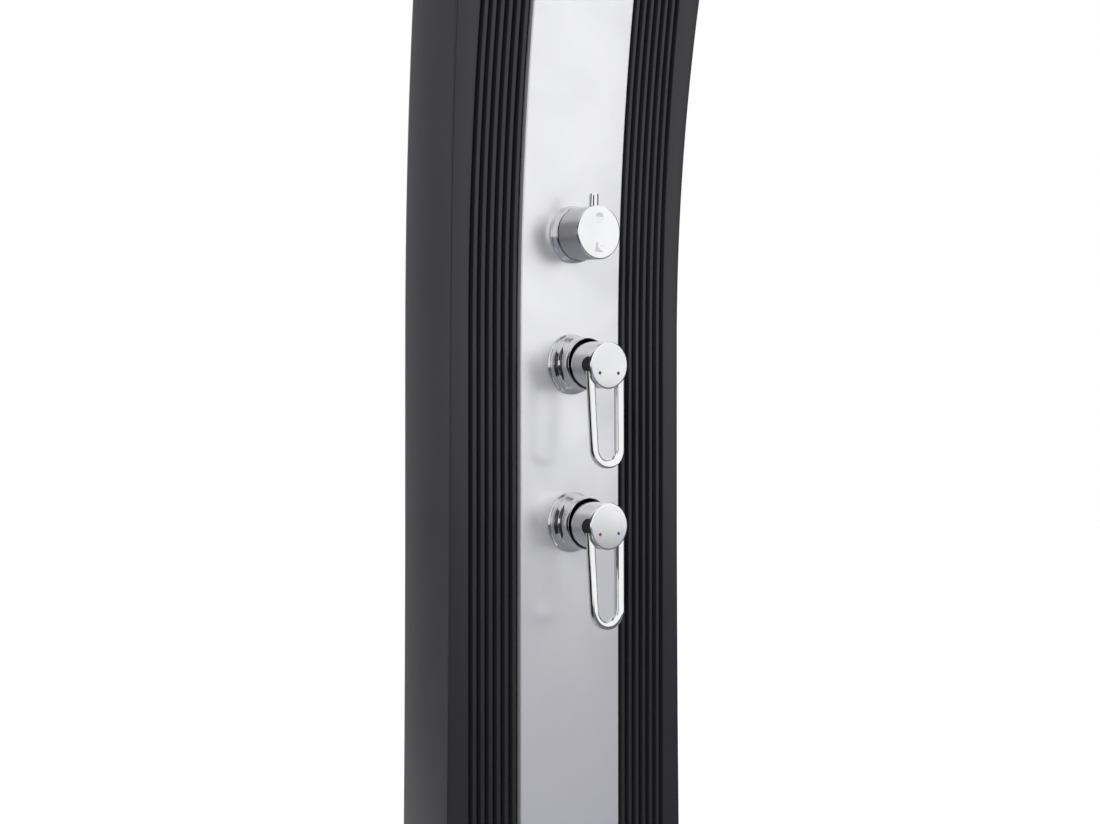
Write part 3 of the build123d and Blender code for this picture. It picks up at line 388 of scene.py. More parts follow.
def buildSettledDust():
    # pale dust on what faces up, broken by noise
    group, nodes, links, start, end = newGroup(
        "settledDust",
        [
            ("Color", color, (0.5, 0.5, 0.5, 1)),
            ("Dust", color, (0.45, 0.43, 0.4, 1)),
            ("Amount", number, 0.2),
        ],
        [("Color", color)],
    )
    facing = nodes.new("ShaderNodeNewGeometry")
    parts = nodes.new("ShaderNodeSeparateXYZ")
    links.new(facing.outputs["Normal"], parts.inputs["Vector"])
    upward = spread(nodes, 0.45, 0.95, 0, 1)
    links.new(parts.outputs["Z"], upward.inputs["Value"])
    place = nodes.new("ShaderNodeTexCoord")
    patches = nodes.new("ShaderNodeTexNoise")
    patches.inputs["Scale"].default_value = 30
    patches.inputs["Detail"].default_value = 8
    links.new(place.outputs["Object"], patches.inputs["Vector"])
    broken = nodes.new("ShaderNodeMath")
    broken.operation = "MULTIPLY"
    links.new(upward.outputs["Result"], broken.inputs[0])
    links.new(patches.outputs["Fac"], broken.inputs[1])
    mask = nodes.new("ShaderNodeMath")
    mask.operation = "MULTIPLY"
    links.new(broken.outputs[0], mask.inputs[0])
    links.new(start.outputs["Amount"], mask.inputs[1])
    dusty = mixColor(nodes)
    links.new(mask.outputs[0], dusty.inputs["Factor"])
    links.new(start.outputs["Color"], dusty.inputs["A"])
    links.new(start.outputs["Dust"], dusty.inputs["B"])
    links.new(dusty.outputs["Result"], end.inputs["Color"])
    return group


mouldedGrain = buildMouldedGrain()
drawnMetal = buildDrawnMetal()
settledDust = buildSettledDust()


# Materials
def newFinish(name, group, values, metallic, dust):
    material = bpy.data.materials.new(name)
    material.use_nodes = True
    nodes, links = material.node_tree.nodes, material.node_tree.links
    shader = nodes["Principled BSDF"]
    shader.inputs["Metallic"].default_value = metallic
    effect = nodes.new("ShaderNodeGroup")
    effect.node_tree = group
    for label, value in values.items():
        effect.inputs[label].default_value = value
    links.new(effect.outputs["Roughness"], shader.inputs["Roughness"])
    links.new(effect.outputs["Normal"], shader.inputs["Normal"])
    if dust:
        layer = nodes.new("ShaderNodeGroup")
        layer.node_tree = settledDust
        layer.inputs["Amount"].default_value = dust
        links.new(effect.outputs["Color"], layer.inputs["Color"])
        links.new(layer.outputs["Color"], shader.inputs["Base Color"])
    else:
        links.new(effect.outputs["Color"], shader.inputs["Base Color"])
    return material


def plastic(name, tone, pitSize, pitDepth, drift, gloss, dust=0.15):
    values = {
        "Tone": (*tone, 1),
        "Pit Size": pitSize,
        "Pit Depth": pitDepth,
        "Tone Drift": drift,
        "Gloss Low": gloss[0],
        "Gloss High": gloss[1],
    }
    return newFinish(name, mouldedGrain, values, 0.0, dust)


def metal(name, tone, shade, lineScale, lineDepth, gloss, metallic=1.0, dust=0.0):
    values = {
        "Tone": (*tone, 1),
        "Shade": (*shade, 1),
        "Line Scale": lineScale,
        "Line Depth": lineDepth,
        "Gloss Low": gloss[0],
        "Gloss High": gloss[1],
    }
    return newFinish(name, drawnMetal, values, metallic, dust)


# plastic: tone, pit size, pit depth, drift of the tone, gloss from and to, dust
# metal: tone, shade in the smudges, line scale, line depth, gloss from and to
graphiteTank = plastic("graphiteTank", (0.013, 0.0127, 0.0165), 1400, 0.2, 0.02, (0.27, 0.34))
capPlastic = plastic("capPlastic", (0.016, 0.0157, 0.0195), 1400, 0.25, 0.04, (0.40, 0.52))
collarPlastic = plastic("collarPlastic", (0.015, 0.015, 0.018), 1200, 0.3, 0.05, (0.42, 0.55))
satinStrip = metal(
    "satinStrip", (0.93, 0.932, 0.96), (0.88, 0.883, 0.91), 1500, 0.03, (0.29, 0.35), 0.74
)
brightChrome = metal(
    "brightChrome", (0.90, 0.90, 0.91), (0.84, 0.84, 0.86), 500, 0.0, (0.02, 0.045)
)
# chrome toned darker than the rest, a painted shade for the darker reflections on the lever drums
# and the foot aerator
paintedShadeChrome = metal(
    "paintedShadeChrome", (0.70, 0.70, 0.715), (0.63, 0.63, 0.65), 900, 0.02, (0.09, 0.14)
)
# darker chrome on the diverter knob's side, a painted shade; the knob's face, the same metal, uses
# faceChrome
paintedShadeKnobChrome = metal(
    "paintedShadeKnobChrome", (0.52, 0.52, 0.535), (0.45, 0.45, 0.465), 900, 0.02, (0.09, 0.14)
)
# darker chrome on the mixer rosettes and the diverter flange, a painted shade for their darker
# reflections
paintedShadeRosetteChrome = metal(
    "paintedShadeRosetteChrome", (0.68, 0.68, 0.695), (0.62, 0.62, 0.635), 500, 0.0, (0.03, 0.06)
)
faceChrome = metal(
    "faceChrome", (0.93, 0.933, 0.945), (0.86, 0.865, 0.88), 700, 0.02, (0.16, 0.22)
)
baseSteel = metal(
    "baseSteel", (0.42, 0.42, 0.43), (0.33, 0.33, 0.34), 400, 0.15, (0.35, 0.5), dust=0.2
)
boltSteel = metal(
    "boltSteel", (0.62, 0.61, 0.59), (0.45, 0.44, 0.43), 900, 0.2, (0.22, 0.4), dust=0.2
)
valveBrass = metal("valveBrass", (0.70, 0.52, 0.25), (0.50, 0.36, 0.17), 600, 0.2, (0.28, 0.45))
pipeCopper = metal("pipeCopper", (0.72, 0.38, 0.25), (0.48, 0.25, 0.18), 500, 0.15, (0.25, 0.45))
cartridgePlastic = plastic("cartridgePlastic", (0.55, 0.54, 0.50), 900, 0.1, 0.1, (0.4, 0.5), 0)
sealRubber = plastic("sealRubber", (0.018, 0.018, 0.018), 700, 0.3, 0.05, (0.55, 0.7), 0)
nozzleSilicone = plastic("nozzleSilicone", (0.12, 0.125, 0.13), 900, 0.1, 0.1, (0.45, 0.6), 0)
drainPlastic = plastic("drainPlastic", (0.03, 0.03, 0.033), 900, 0.3, 0.06, (0.4, 0.55))
# near-black that paints the shade in bores and slots
paintedSlotShade = plastic("paintedSlotShade", (0.006, 0.006, 0.007), 900, 0.1, 0.02, (0.5, 0.6), 0)
pictureGrey = metal(
    "pictureGrey", (0.80, 0.805, 0.82), (0.72, 0.725, 0.74), 900, 0.05, (0.34, 0.44)
)
dotRed = plastic("dotRed", (0.32, 0.012, 0.02), 900, 0.05, 0.03, (0.25, 0.3), 0)
dotBlue = plastic("dotBlue", (0.01, 0.10, 0.32), 900, 0.05, 0.03, (0.25, 0.3), 0)
dotDark = plastic("dotDark", (0.05, 0.035, 0.06), 900, 0.05, 0.03, (0.25, 0.3), 0)
# near-black metal that paints the shade in the gaps round the controls
paintedGapShade = metal(
    "paintedGapShade", (0.045, 0.045, 0.048), (0.03, 0.03, 0.032), 700, 0.1, (0.35, 0.5)
)

slotFinishes = {
    "tank_plastic": graphiteTank,
    "fascia_aluminium": satinStrip,
    "cap_plastic": capPlastic,
    "base_steel": baseSteel,
    "collar_plastic": collarPlastic,
    "bolt_steel": boltSteel,
    "valve_brass": valveBrass,
    "pipe_copper": pipeCopper,
    "cartridge_plastic": cartridgePlastic,
    "seal_rubber": sealRubber,
    "nozzle_silicone": nozzleSilicone,
    "drain_plastic": drainPlastic,
}

# pieces that show only as a dark line in the gaps round the controls; their near-black finish is
# painted shade for those gaps
darkNodes = {"mixer_nuts", "diverter_nut", "diverter_body"}
for side in ("upper", "lower"):
    darkNodes |= {side + "_mixer_body", side + "_mixer_cartridge"}
for entry in frame["record"]["subparts"]:
    carried = frame["nodes"][entry["node"]]
    finish = slotFinishes.get(entry["material_slot"], brightChrome)
    carried.data.materials.clear()
    carried.data.materials.append(paintedGapShade if entry["node"] in darkNodes else finish)
print("materials ready")


# Tank and strip, both drawn as a section and run up the column
tank = {
    "ribEdge": 109,
    "grooves": 7,
    "grooveDepth": 6,
    "grooveFillet": ((0.35, 0.5), (0.9, 0)),
    "underStrip": 4,
    "ribRound": 1.1,
    "cornerRadius": 2.5,
    "backRadius": 6,
    "bendSteps": 54,
    "footAlong": -1067,
    "straightSteps": 13,
    "straightStep": 80,
    "ringsPerMm": 20,
}


def ribPoints():
    # right half of the ribbed front as x and depth, from the strip outwards
    pitch = (tank["ribEdge"] - column["stripHalf"]) / (tank["grooves"] - 0.5)
    half, deep, soft = pitch / 2, tank["grooveDepth"], tank["ribRound"]
    turns = [radians(angle) for angle in (0, 30, 60, 90)]
    fillet = tank["grooveFillet"]
    points = [(column["stripHalf"] - tank["underStrip"], deep)]
    for groove in range(tank["grooves"]):
        outer = column["stripHalf"] + groove * pitch + half
        points += [(outer - aside, deep - rise) for aside, rise in reversed(fillet)]
        points += [(outer + soft - soft * cos(t), soft - soft * sin(t)) for t in turns]
        if groove < tank["grooves"] - 1:
            end = outer + half
            points += [(end - soft + soft * sin(t), soft - soft * cos(t)) for t in turns]
            points += [(end + aside, deep - rise) for aside, rise in fillet]
    return points


def runUp(piece, steps):
    # the drawn face goes straight up to the bend and is then spun along it
    face = column["bendStart"] - column["bottom"]
    extrudeBy((0, 0, face * mm))
    centre = placeAt(0, -column["bendRadius"])
    angle = column["archLength"] / column["bendRadius"]
    bpy.ops.mesh.spin(steps=steps, angle=angle, center=centre, axis=(-1, 0, 0))
    cleanMesh()


def sectionAt(points, height):
    return [(x, column["frontY"] + depth, height) for x, depth in points]


def bodySide(half, grow, frontRadius, backRadius):
    # right half without the ribs: front corner, back corner and half of the domed back
    side, arc = half + grow, column["crownRadius"] + grow
    arcCentre = column["crownDepth"] - column["crownRadius"]
    frontSteps, backSteps, domeSteps = 4, 6, 12
    points = []
    for i in range(frontSteps + 1):
        t = radians(90 * i / frontSteps)
        x = side - frontRadius + frontRadius * sin(t)
        points.append((x, -grow + frontRadius - frontRadius * cos(t)))
    rise = ((arc - backRadius) ** 2 - (side - backRadius) ** 2) ** 0.5
    turn = atan2(rise, side - backRadius)
    for i in range(backSteps + 1):
        t = turn * i / backSteps
        x = side - backRadius + backRadius * cos(t)
        points.append((x, arcCentre + rise + backRadius * sin(t)))
    for i in range(1, domeSteps + 1):
        t = turn + (pi / 2 - turn) * i / domeSteps
        points.append((arc * cos(t), arcCentre + arc * sin(t)))
    return points


def mirrored(points):
    # the other half, without a second middle point
    return [(-x, depth) for x, depth in reversed(points) if abs(x) > 0.01]


def tankRing(half):
    right = ribPoints() + bodySide(half, 0, tank["cornerRadius"], tank["backRadius"])
    return right + mirrored(right)


tankStations = [tank["footAlong"] + tank["straightStep"] * i for i in range(tank["straightSteps"])]
tankStations += [column["archLength"] * i / tank["bendSteps"] for i in range(tank["bendSteps"] + 1)]
waistRing = tankRing(column["waistHalf"])
tankShell = drawChain("tankShell", [(x, depth, tankStations[0]) for x, depth in waistRing])
for before, after in zip(tankStations, tankStations[1:]):
    extrudeBy((0, 0, (after - before) * mm))
cleanMesh()


def bendAndWaist(piece):
    # the straight run of one section is bent forward, and its sides follow the waist;
    # corners whose half widths round to the same value share a ring
    spots = {(round(x, 2), round(depth, 2)): i for i, (x, depth) in enumerate(waistRing)}
    rings = {}
    for corner in piece.data.vertices:
        x, depth, along = corner.co / mm
        spot = spots[(round(x, 2), round(depth, 2))]
        width = round(tank["ringsPerMm"] * halfWidth(placeAt(along, depth).z / mm))
        if width not in rings:
            rings[width] = tankRing(width / tank["ringsPerMm"])
        x, depth = rings[width][spot]
        corner.co = placeAt(along, depth, x)


bendAndWaist(tankShell)
finishPiece(tankShell, "column", "tank_plastic", graphiteTank, "tank_body", smooth=25)
print("tank shell", len(tankShell.data.polygons), "faces")

strip = {
    "sheet": 2,
    "flange": 5,
    "foldRadius": 1.5,
    "lengths": {  # node, lower and upper end
        "stripFoot": ("fascia_foot", -1064, -497.3),
        "stripMiddle": ("front_fascia", -497, 329.7),
        "stripHood": ("fascia_hood", 330, 679.7),
        "stripTip": ("fascia_hood", 680, 1030),
    },
}


def stripPoints():
    half, proud, fold = column["stripHalf"], column["stripProud"], strip["foldRadius"]
    turns = [radians(angle) for angle in (0, 18, 36, 54, 72, 90)]
    right = [(half - fold + fold * sin(t), -proud + fold - fold * cos(t)) for t in turns]
    right += [(half, strip["flange"]), (half - strip["sheet"], strip["flange"])]
    right += [(half - strip["sheet"], strip["sheet"] - proud)]
    return right + [(-x, depth) for x, depth in reversed(right)]


stripMaster = drawChain("stripMaster", sectionAt(stripPoints(), column["bottom"]))
runUp(stripMaster, tank["bendSteps"])


def cutAcross(piece, along, keepAbove):
    # everything on one side of a plane across the column goes, and the end is closed
    turned = acrossMatrix(along)
    normal = turned.to_3x3() @ Vector((0, 0, 1))
    editOn(piece)
    bpy.ops.mesh.select_all(action="SELECT")
    bpy.ops.mesh.bisect(
        plane_co=turned.translation,
        plane_no=normal,
        use_fill=True,
        clear_inner=keepAbove,
        clear_outer=not keepAbove,
    )
    cleanMesh()


for name, (node, low, high) in strip["lengths"].items():
    length = copyOf(stripMaster, name)
    cutAcross(length, low, True)
    if high < column["archLength"]:
        cutAcross(length, high, False)
    finishPiece(length, "column", "fascia_aluminium", satinStrip, node, smooth=50)
removePiece(stripMaster)
print("strip ready")


# Hood cap and foot collar, drawn from the same outline
def plainOutline(half, grow, frontRadius, backRadius):
    right = bodySide(half, grow, frontRadius, backRadius)
    return right + mirrored(right)


hood = {
    "thickness": 16,
    "edge": 5,
    "frontRound": 3,
    "backRound": 6,
    "screwX": 120,
    "screwDepths": (30, 62),
    "screwRadius": 4.3,
    "screwSunk": 5,
}
hoodHalf = column["waistHalf"] + column["hoodWiden"]
hoodOutline = plainOutline(hoodHalf, 0, hood["frontRound"], hood["backRound"])
hoodCap = drawChain("hoodCap", [(x, depth, 0) for x, depth in hoodOutline])
extrudeBy((0, 0, hood["thickness"] * mm))
bpy.ops.mesh.bevel(offset=hood["edge"] * mm, segments=5, clamp_overlap=True)
cleanMesh()
over = 0.1  # the cutters stand this far out of the cap
for x in (-hood["screwX"], hood["screwX"]):
    for depth in hood["screwDepths"]:
        place = (x, depth, hood["thickness"] - hood["screwSunk"] / 2 + over)
        cutWith(hoodCap, addRod(hood["screwRadius"], hood["screwSunk"] + 2 * over, place, 40))
setDown(hoodCap, acrossMatrix(column["archLength"]))
finishPiece(hoodCap, "column", "cap_plastic", capPlastic, "top_cap")

collar = {
    "bottom": 6,
    "top": 90,
    "gap": 1.5,
    "wall": 3.5,
    "recess": 22,
    "edge": 1.5,
    "frontRound": 6.5,
    "backRound": 9,
    "inletPlace": (35, 100, 40),
    "inletRadius": 15,
    "inletReach": 50,
}
collarGrow = collar["gap"] + collar["wall"]
footHalf = halfWidth(column["bottom"])
collarOutline = plainOutline(footHalf, collarGrow, collar["frontRound"], collar["backRound"])
footCollar = drawChain("footCollar", sectionAt(collarOutline, collar["bottom"]))
extrudeBy((0, 0, (collar["top"] - collar["bottom"]) * mm))
bpy.ops.mesh.bevel(offset=collar["edge"] * mm, segments=3)
cleanMesh()
editOn(footCollar)
# the wide top face, which sinks to leave a rim
pick(footCollar, "FACE", lambda face: face.normal.z > 0.99 and face.calc_area() > 0.01)
bpy.ops.mesh.inset(thickness=(collar["wall"] - collar["edge"]) * mm)
extrudeBy((0, 0, -collar["recess"] * mm))
cleanMesh()
inletRod = (collar["inletRadius"], collar["inletReach"], collar["inletPlace"])
cutWith(footCollar, addRod(*inletRod, 64, towardsBack))
finishPiece(footCollar, "column", "collar_plastic", collarPlastic, "base_collar")
print("hood cap and collar ready")


# Mixers: each piece is modelled once on the strip's own plane, then copied
mixer = {
    "rosette": (
        (22, 0),
        (26.6, 0),
        (27, 0.4),
        (27, 1.3),
        (26.8, 1.8),
        (26.3, 2.3),
        (25.6, 3.6),
        (25.2, 5.2),
        (25.1, 7.4),
        (25.2, 7.7),
        (25.05, 8.0),
        (23.7, 11.9),
        (24.3, 12.2),
        (24.3, 12.5),
        (24.1, 12.8),
        (22.95, 16.5),
        (23.45, 16.8),
        (23.5, 17.2),
        (23.3, 20.5),
        (23.1, 24.2),
        (22.9, 24.8),
        (22.6, 25),
        (22.05, 24.9),
        (21.8, 24.6),
        (21.8, 20.6),
        (22, 20.2),
    ),
    "boreReach": 22.15,
    "drumRadius": 20.5,
    "drumWall": 1.6,
    "drumBack": 24.4,
    "webBack": 40,
    "capBack": 51.5,
    "capFront": 54.5,
    "slotRadius": 7.4,
    "slotHeight": 49.2,
    "slotX": 21,
    "slotReach": 18,
    "slotGap": 0.35,
    "slotBehind": 1.2,
    "slotDepth": 8,
    "slotShadeGap": 0.15,
    "slotShadeReach": 60,
    "loopBack": 46,
    "loopTop": 3,
    "loopTopHalf": 19.75,
    "loopEndHalf": 17.2,
    "loopReach": 90,
    "loopBar": 7.3,
    "loopChamfer": 2.5,
    "loopEdge": 0.7,
    "loopUnder": 0.1,
    "loopSunk": 0.9,
    "loopLean": 2.5,
    "leverPivot": 25,
    "leverDrop": 0.9,
    "dotX": 10.2,
    "dotY": -6.5,
    "dotRadius": 1.55,
    "dotFlat": 0.16,
    "dotLift": 0.06,
}

rosetteMaster = spinProfile("rosetteMaster", mixer["rosette"], 192)
rosetteMaster.data.materials.append(paintedShadeRosetteChrome)
paintBoreShade(rosetteMaster, mixer["boreReach"], paintedSlotShade)

drumOuter, drumInner = mixer["drumRadius"], mixer["drumRadius"] - mixer["drumWall"]
drumProfile = [
    (0, mixer["webBack"]),
    (drumInner, mixer["webBack"]),
    (drumInner, mixer["drumBack"]),
    (drumOuter - 0.3, mixer["drumBack"]),
    (drumOuter, mixer["drumBack"] + 0.3),
    (drumOuter, mixer["capBack"] - 0.35),
    (drumOuter - 0.35, mixer["capBack"]),
    (0, mixer["capBack"]),
]
drumMaster = spinProfile("drumMaster", drumProfile, 96, closed=False)


def loopOutline(grow):
    # lever loop seen from the front: straight tapering sides and a round end
    arcSteps = 28
    topHalf, endHalf = mixer["loopTopHalf"] + grow, mixer["loopEndHalf"] + grow
    endY = -mixer["loopReach"] + mixer["loopEndHalf"]
    topY = mixer["loopTop"] + grow
    points = [(-endHalf, endY), (-topHalf, topY), (topHalf, topY)]
    for i in range(arcSteps):
        t = pi * i / arcSteps
        points.append((endHalf * cos(t), endY - endHalf * sin(t)))
    return points


for sideOf in (-1, 1):  # the round slots in the drum's sides, open towards the cap
    place = (sideOf * mixer["slotX"], 0, mixer["slotHeight"])
    slotRod = addRod(mixer["slotRadius"], mixer["slotReach"], place, 48, acrossFront)
    cutWith(drumMaster, slotRod)
slotFloor = mixer["loopBack"] - mixer["slotBehind"]
slotOutline = [(x, y, slotFloor) for x, y in loopOutline(mixer["slotGap"])]
slotCutter = drawChain("slotCutter", slotOutline)
extrudeBy((0, 0, mixer["slotDepth"] * mm))
cleanMesh()
cutWith(drumMaster, slotCutter)

loopMaster = drawChain("loopMaster", [(x, y, mixer["loopBack"]) for x, y in loopOutline(0)])
bpy.ops.mesh.inset(thickness=mixer["loopBar"] * mm)
bpy.ops.mesh.delete(type="FACE")
bpy.ops.mesh.select_all(action="SELECT")
thick = mixer["capBack"] - mixer["loopBack"] - mixer["loopUnder"]
extrudeBy((0, 0, thick * mm))
cleanMesh()
editOn(loopMaster)
loopFront = mixer["loopBack"] + thick


def innerFrontEdge(edge):
    # edges round the opening on the loop's front, away from its outline
    if any(abs(corner.co.z / mm - loopFront) > 0.01 for corner in edge.verts):
        return False
    middle = middleOf(edge) / mm
    sideFace = min(abs(face.normal.z) for face in edge.link_faces)
    inward = sum((face.normal for face in edge.link_faces if abs(face.normal.z) < 0.5), Vector())
    # nearest point of a line up the middle of the opening
    lowest, highest = 17 - mixer["loopReach"], -4
    centre = Vector((0, min(max(middle.y, lowest), highest), 0))
    return sideFace < 0.5 and inward.dot(centre - Vector((middle.x, middle.y, 0))) > 0


pick(loopMaster, "EDGE", innerFrontEdge)
bpy.ops.mesh.bevel(offset=mixer["loopChamfer"] * mm, segments=5, clamp_overlap=True)
cleanMesh()
applyModifier(
    loopMaster,
    "BEVEL",
    width=mixer["loopEdge"] * mm,
    segments=3,
    limit_method="ANGLE",
    angle_limit=radians(50),
    use_clamp_overlap=True,
    harden_normals=False,
)
onlySelect(loopMaster)
loopMaster.location.z = -mixer["loopSunk"] * mm
bpy.ops.object.transform_apply(location=True, rotation=False, scale=False)

# near-black piece that fills the drum's side slots round the loop's arms: painted shade for the
# inside of the slots
slotShadeRod = (mixer["slotRadius"] - mixer["slotShadeGap"], mixer["slotShadeReach"])
slotShadeMaster = addRod(*slotShadeRod, (0, 0, mixer["slotHeight"]), 48, acrossFront)
slotShadeMaster.name = slotShadeMaster.data.name = "slotShadeMaster"
slotShadeBottom = mixer["slotHeight"] - mixer["slotRadius"] - 1
slotShadeLimit = [
    (0, slotShadeBottom),
    (drumOuter - 0.35, slotShadeBottom),
    (drumOuter - 0.35, mixer["capBack"] - 0.08),
    (0, mixer["capBack"] - 0.08),
]
cutWith(slotShadeMaster, spinProfile("slotShadeLimit", slotShadeLimit, 96, closed=False), "INTERSECT")

capBack, capFront = mixer["capBack"], mixer["capFront"]
capProfile = [
    (0, capBack),
    (drumOuter - 0.4, capBack),
    (drumOuter, capBack + 0.3),
    (drumOuter, capFront - 0.9),
    (drumOuter - 0.25, capFront - 0.35),
    (drumOuter - 0.9, capFront),
    (drumOuter - 1.6, capFront + 0.02),
    (drumOuter - 2.3, capFront + 0.03),
    (drumOuter / 2, capFront + 0.1),
    (0, capFront + 0.12),
]
capMaster = spinProfile("capMaster", capProfile, 96, closed=False)


def dotAt(name, x):
    # a colour dot on the cap, squashed flat
    height = capFront + mixer["dotLift"]
    bpy.ops.object.select_all(action="DESELECT")
    bpy.ops.mesh.primitive_uv_sphere_add(
        segments=32,
        ring_count=16,
        radius=mixer["dotRadius"] * mm,
        location=(x * mm, mixer["dotY"] * mm, height * mm),
    )
    dot = bpy.context.object
    dot.name = dot.data.name = name
    bpy.ops.transform.resize(value=(1, 1, mixer["dotFlat"]))
    bpy.ops.object.transform_apply(location=True, rotation=True, scale=True)
    return dot


def turnedAbout(height, degrees):
    # turn about a line across the mixer, at this height over the strip
    line = Matrix.Translation((0, 0, height * mm))
    return line @ Matrix.Rotation(radians(degrees), 4, "X") @ line.inverted()


# node, forward tilt of the closed lever in degrees, left and right dot
mixerSides = {
    "upperMixer": ("upper_mixer", 3, dotDark, dotDark),
    "lowerMixer": ("lower_mixer", 0, dotRed, dotBlue),
}
for name, (node, tilt, leftDot, rightDot) in mixerSides.items():
    place = faceMatrix(controls[name])
    # a closed lever hangs a little under the rosette's axis
    sag = Matrix.Translation((0, -mixer["leverDrop"] * mm, 0))
    leverPlace = place @ sag @ turnedAbout(mixer["leverPivot"], tilt)
    lever = node + "_lever"
    rosette = copyOf(rosetteMaster, name + "Rosette")
    setDown(rosette, place)
    finishPiece(rosette, "column", "chrome", paintedShadeRosetteChrome, node + "_rosette")
    drum = copyOf(drumMaster, name + "Drum")
    setDown(drum, leverPlace)
    finishPiece(drum, lever, "chrome", paintedShadeChrome, node + "_hub")
    loop = copyOf(loopMaster, name + "Loop")
    setDown(loop, leverPlace @ turnedAbout(mixer["loopBack"], -mixer["loopLean"] - tilt))
    finishPiece(loop, lever, "chrome", brightChrome, node + "_loop")
    # the slot filler paints the shade inside the drum's side slots
    slotShadePiece = copyOf(slotShadeMaster, name + "SlotShade")
    setDown(slotShadePiece, leverPlace)
    finishPiece(slotShadePiece, lever, "chrome", paintedSlotShade)
    cap = copyOf(capMaster, name + "Cap")
    setDown(cap, leverPlace)
    finishPiece(cap, lever, "chrome", faceChrome, node + "_cap")
    for label, x, finish in (("Left", -mixer["dotX"], leftDot), ("Right", mixer["dotX"], rightDot)):
        dot = dotAt(name + "Dot" + label, x)
        setDown(dot, leverPlace)
        finishPiece(dot, lever, "chrome", finish)
for master in (rosetteMaster, drumMaster, loopMaster, slotShadeMaster, capMaster):
    removePiece(master)
print("mixers ready")

# Diverter: flange, turning knob with its pin, and the face with two pictures
diverter = {
    "knobRadius": 23.5,
    "knobBack": 9.8,
    "knobFront": 38.5,
    "wall": 3,
    "webBack": 31,
    "pinRadius": 4.35,
    "pinHeight": 29,
    "pinFrom": 18,
    "pinReach": 34.5,
    "boreReach": 21.95,
}
diverterPlace = faceMatrix(controls["diverter"])
flangeProfile = [
    (19.5, 0.2),
    (25.2, 0.2),
    (25.5, 0.5),
    (25.5, 2.3),
    (25.2, 2.8),
    (24.9, 3.3),
    (24.7, 8.2),
    (24.45, 8.75),
    (24.0, 9),
    (21.9, 9),
    (21.5, 8.7),
    (21.5, 4),
    (19.5, 4),
]
knobFlange = spinProfile("diverterFlange", flangeProfile, 96)
knobFlange.data.materials.append(paintedShadeRosetteChrome)
paintBoreShade(knobFlange, diverter["boreReach"], paintedSlotShade)
setDown(knobFlange, diverterPlace)
finishPiece(knobFlange, "column", "chrome", paintedShadeRosetteChrome, "diverter_flange")

knobR, knobIn = diverter["knobRadius"], diverter["knobRadius"] - diverter["wall"]
faceBack = diverter["knobFront"] - 2
knobProfile = [
    (0, diverter["webBack"]),
    (knobIn, diverter["webBack"]),
    (knobIn, diverter["knobBack"]),
    (knobR - 0.5, diverter["knobBack"]),
    (knobR, diverter["knobBack"] + 0.5),
    (knobR, faceBack - 0.25),
    (knobR - 0.25, faceBack),
    (0, faceBack),
]
knobDrum = spinProfile("diverterKnob", knobProfile, 96, closed=False)
setDown(knobDrum, diverterPlace)
finishPiece(knobDrum, "diverter_handle", "chrome", paintedShadeKnobChrome, "diverter_knob")

faceProfile = [
    (0, faceBack),
    (knobR - 0.3, faceBack),
    (knobR, faceBack + 0.3),
    (knobR, faceBack + 1.2),
    (knobR - 0.25, faceBack + 1.75),
    (knobR - 0.8, faceBack + 2),
    (knobR - 1.5, faceBack + 2.02),
    (knobR - 2.2, faceBack + 2.03),
    (knobR / 2, faceBack + 2.05),
    (0, faceBack + 2.06),
]
knobFace = spinProfile("diverterFace", faceProfile, 96, closed=False)
setDown(knobFace, diverterPlace)
finishPiece(knobFace, "diverter_handle", "chrome", faceChrome, "diverter_cap")

pinR, pinLong = diverter["pinRadius"], diverter["pinReach"] - diverter["pinFrom"]
pinProfile = [
    (0, 0),
    (pinR, 0),
    (pinR, pinLong - 1.1),
    (pinR - 0.3, pinLong - 0.4),
    (pinR - 1.0, pinLong),
    (0, pinLong),
]
knobPin = spinProfile("diverterPin", pinProfile, 64, closed=False)
pinPlace = Matrix.Translation((0, diverter["pinFrom"] * mm, diverter["pinHeight"] * mm))
setDown(knobPin, diverterPlace @ pinPlace @ Matrix.Rotation(-pi / 2, 4, "X"))
finishPiece(knobPin, "diverter_handle", "chrome", brightChrome, "diverter_pin")

pictures = {"thickness": 0.1, "streakWide": 0.4}


def flatShape(name, points):
    shape = drawChain(name, [(x, y, diverter["knobFront"]) for x, y in points])
    extrudeBy((0, 0, pictures["thickness"] * mm))
    cleanMesh()
    return shape


def joinAs(name, shapes):
    bpy.ops.object.select_all(action="DESELECT")
    for shape in shapes:
        shape.select_set(True)
    bpy.context.view_layer.objects.active = shapes[0]
    bpy.ops.object.join()
    shapes[0].name = shapes[0].data.name = name
    return shapes[0]


def streak(x, y, angle, long):
    # short drop of water, as a thin stroke with a point
    wide = pictures["streakWide"]
    along = Vector((sin(angle), -cos(angle)))
    across = Vector((along.y, -along.x))
    start, end = Vector((x, y)), Vector((x, y)) + along * long
    corners = [start + across * wide / 2, end + across * wide / 2]
    corners += [end + along * wide / 2, end - across * wide / 2, start - across * wide / 2]
    return flatShape("streak", [(p.x, p.y) for p in corners])


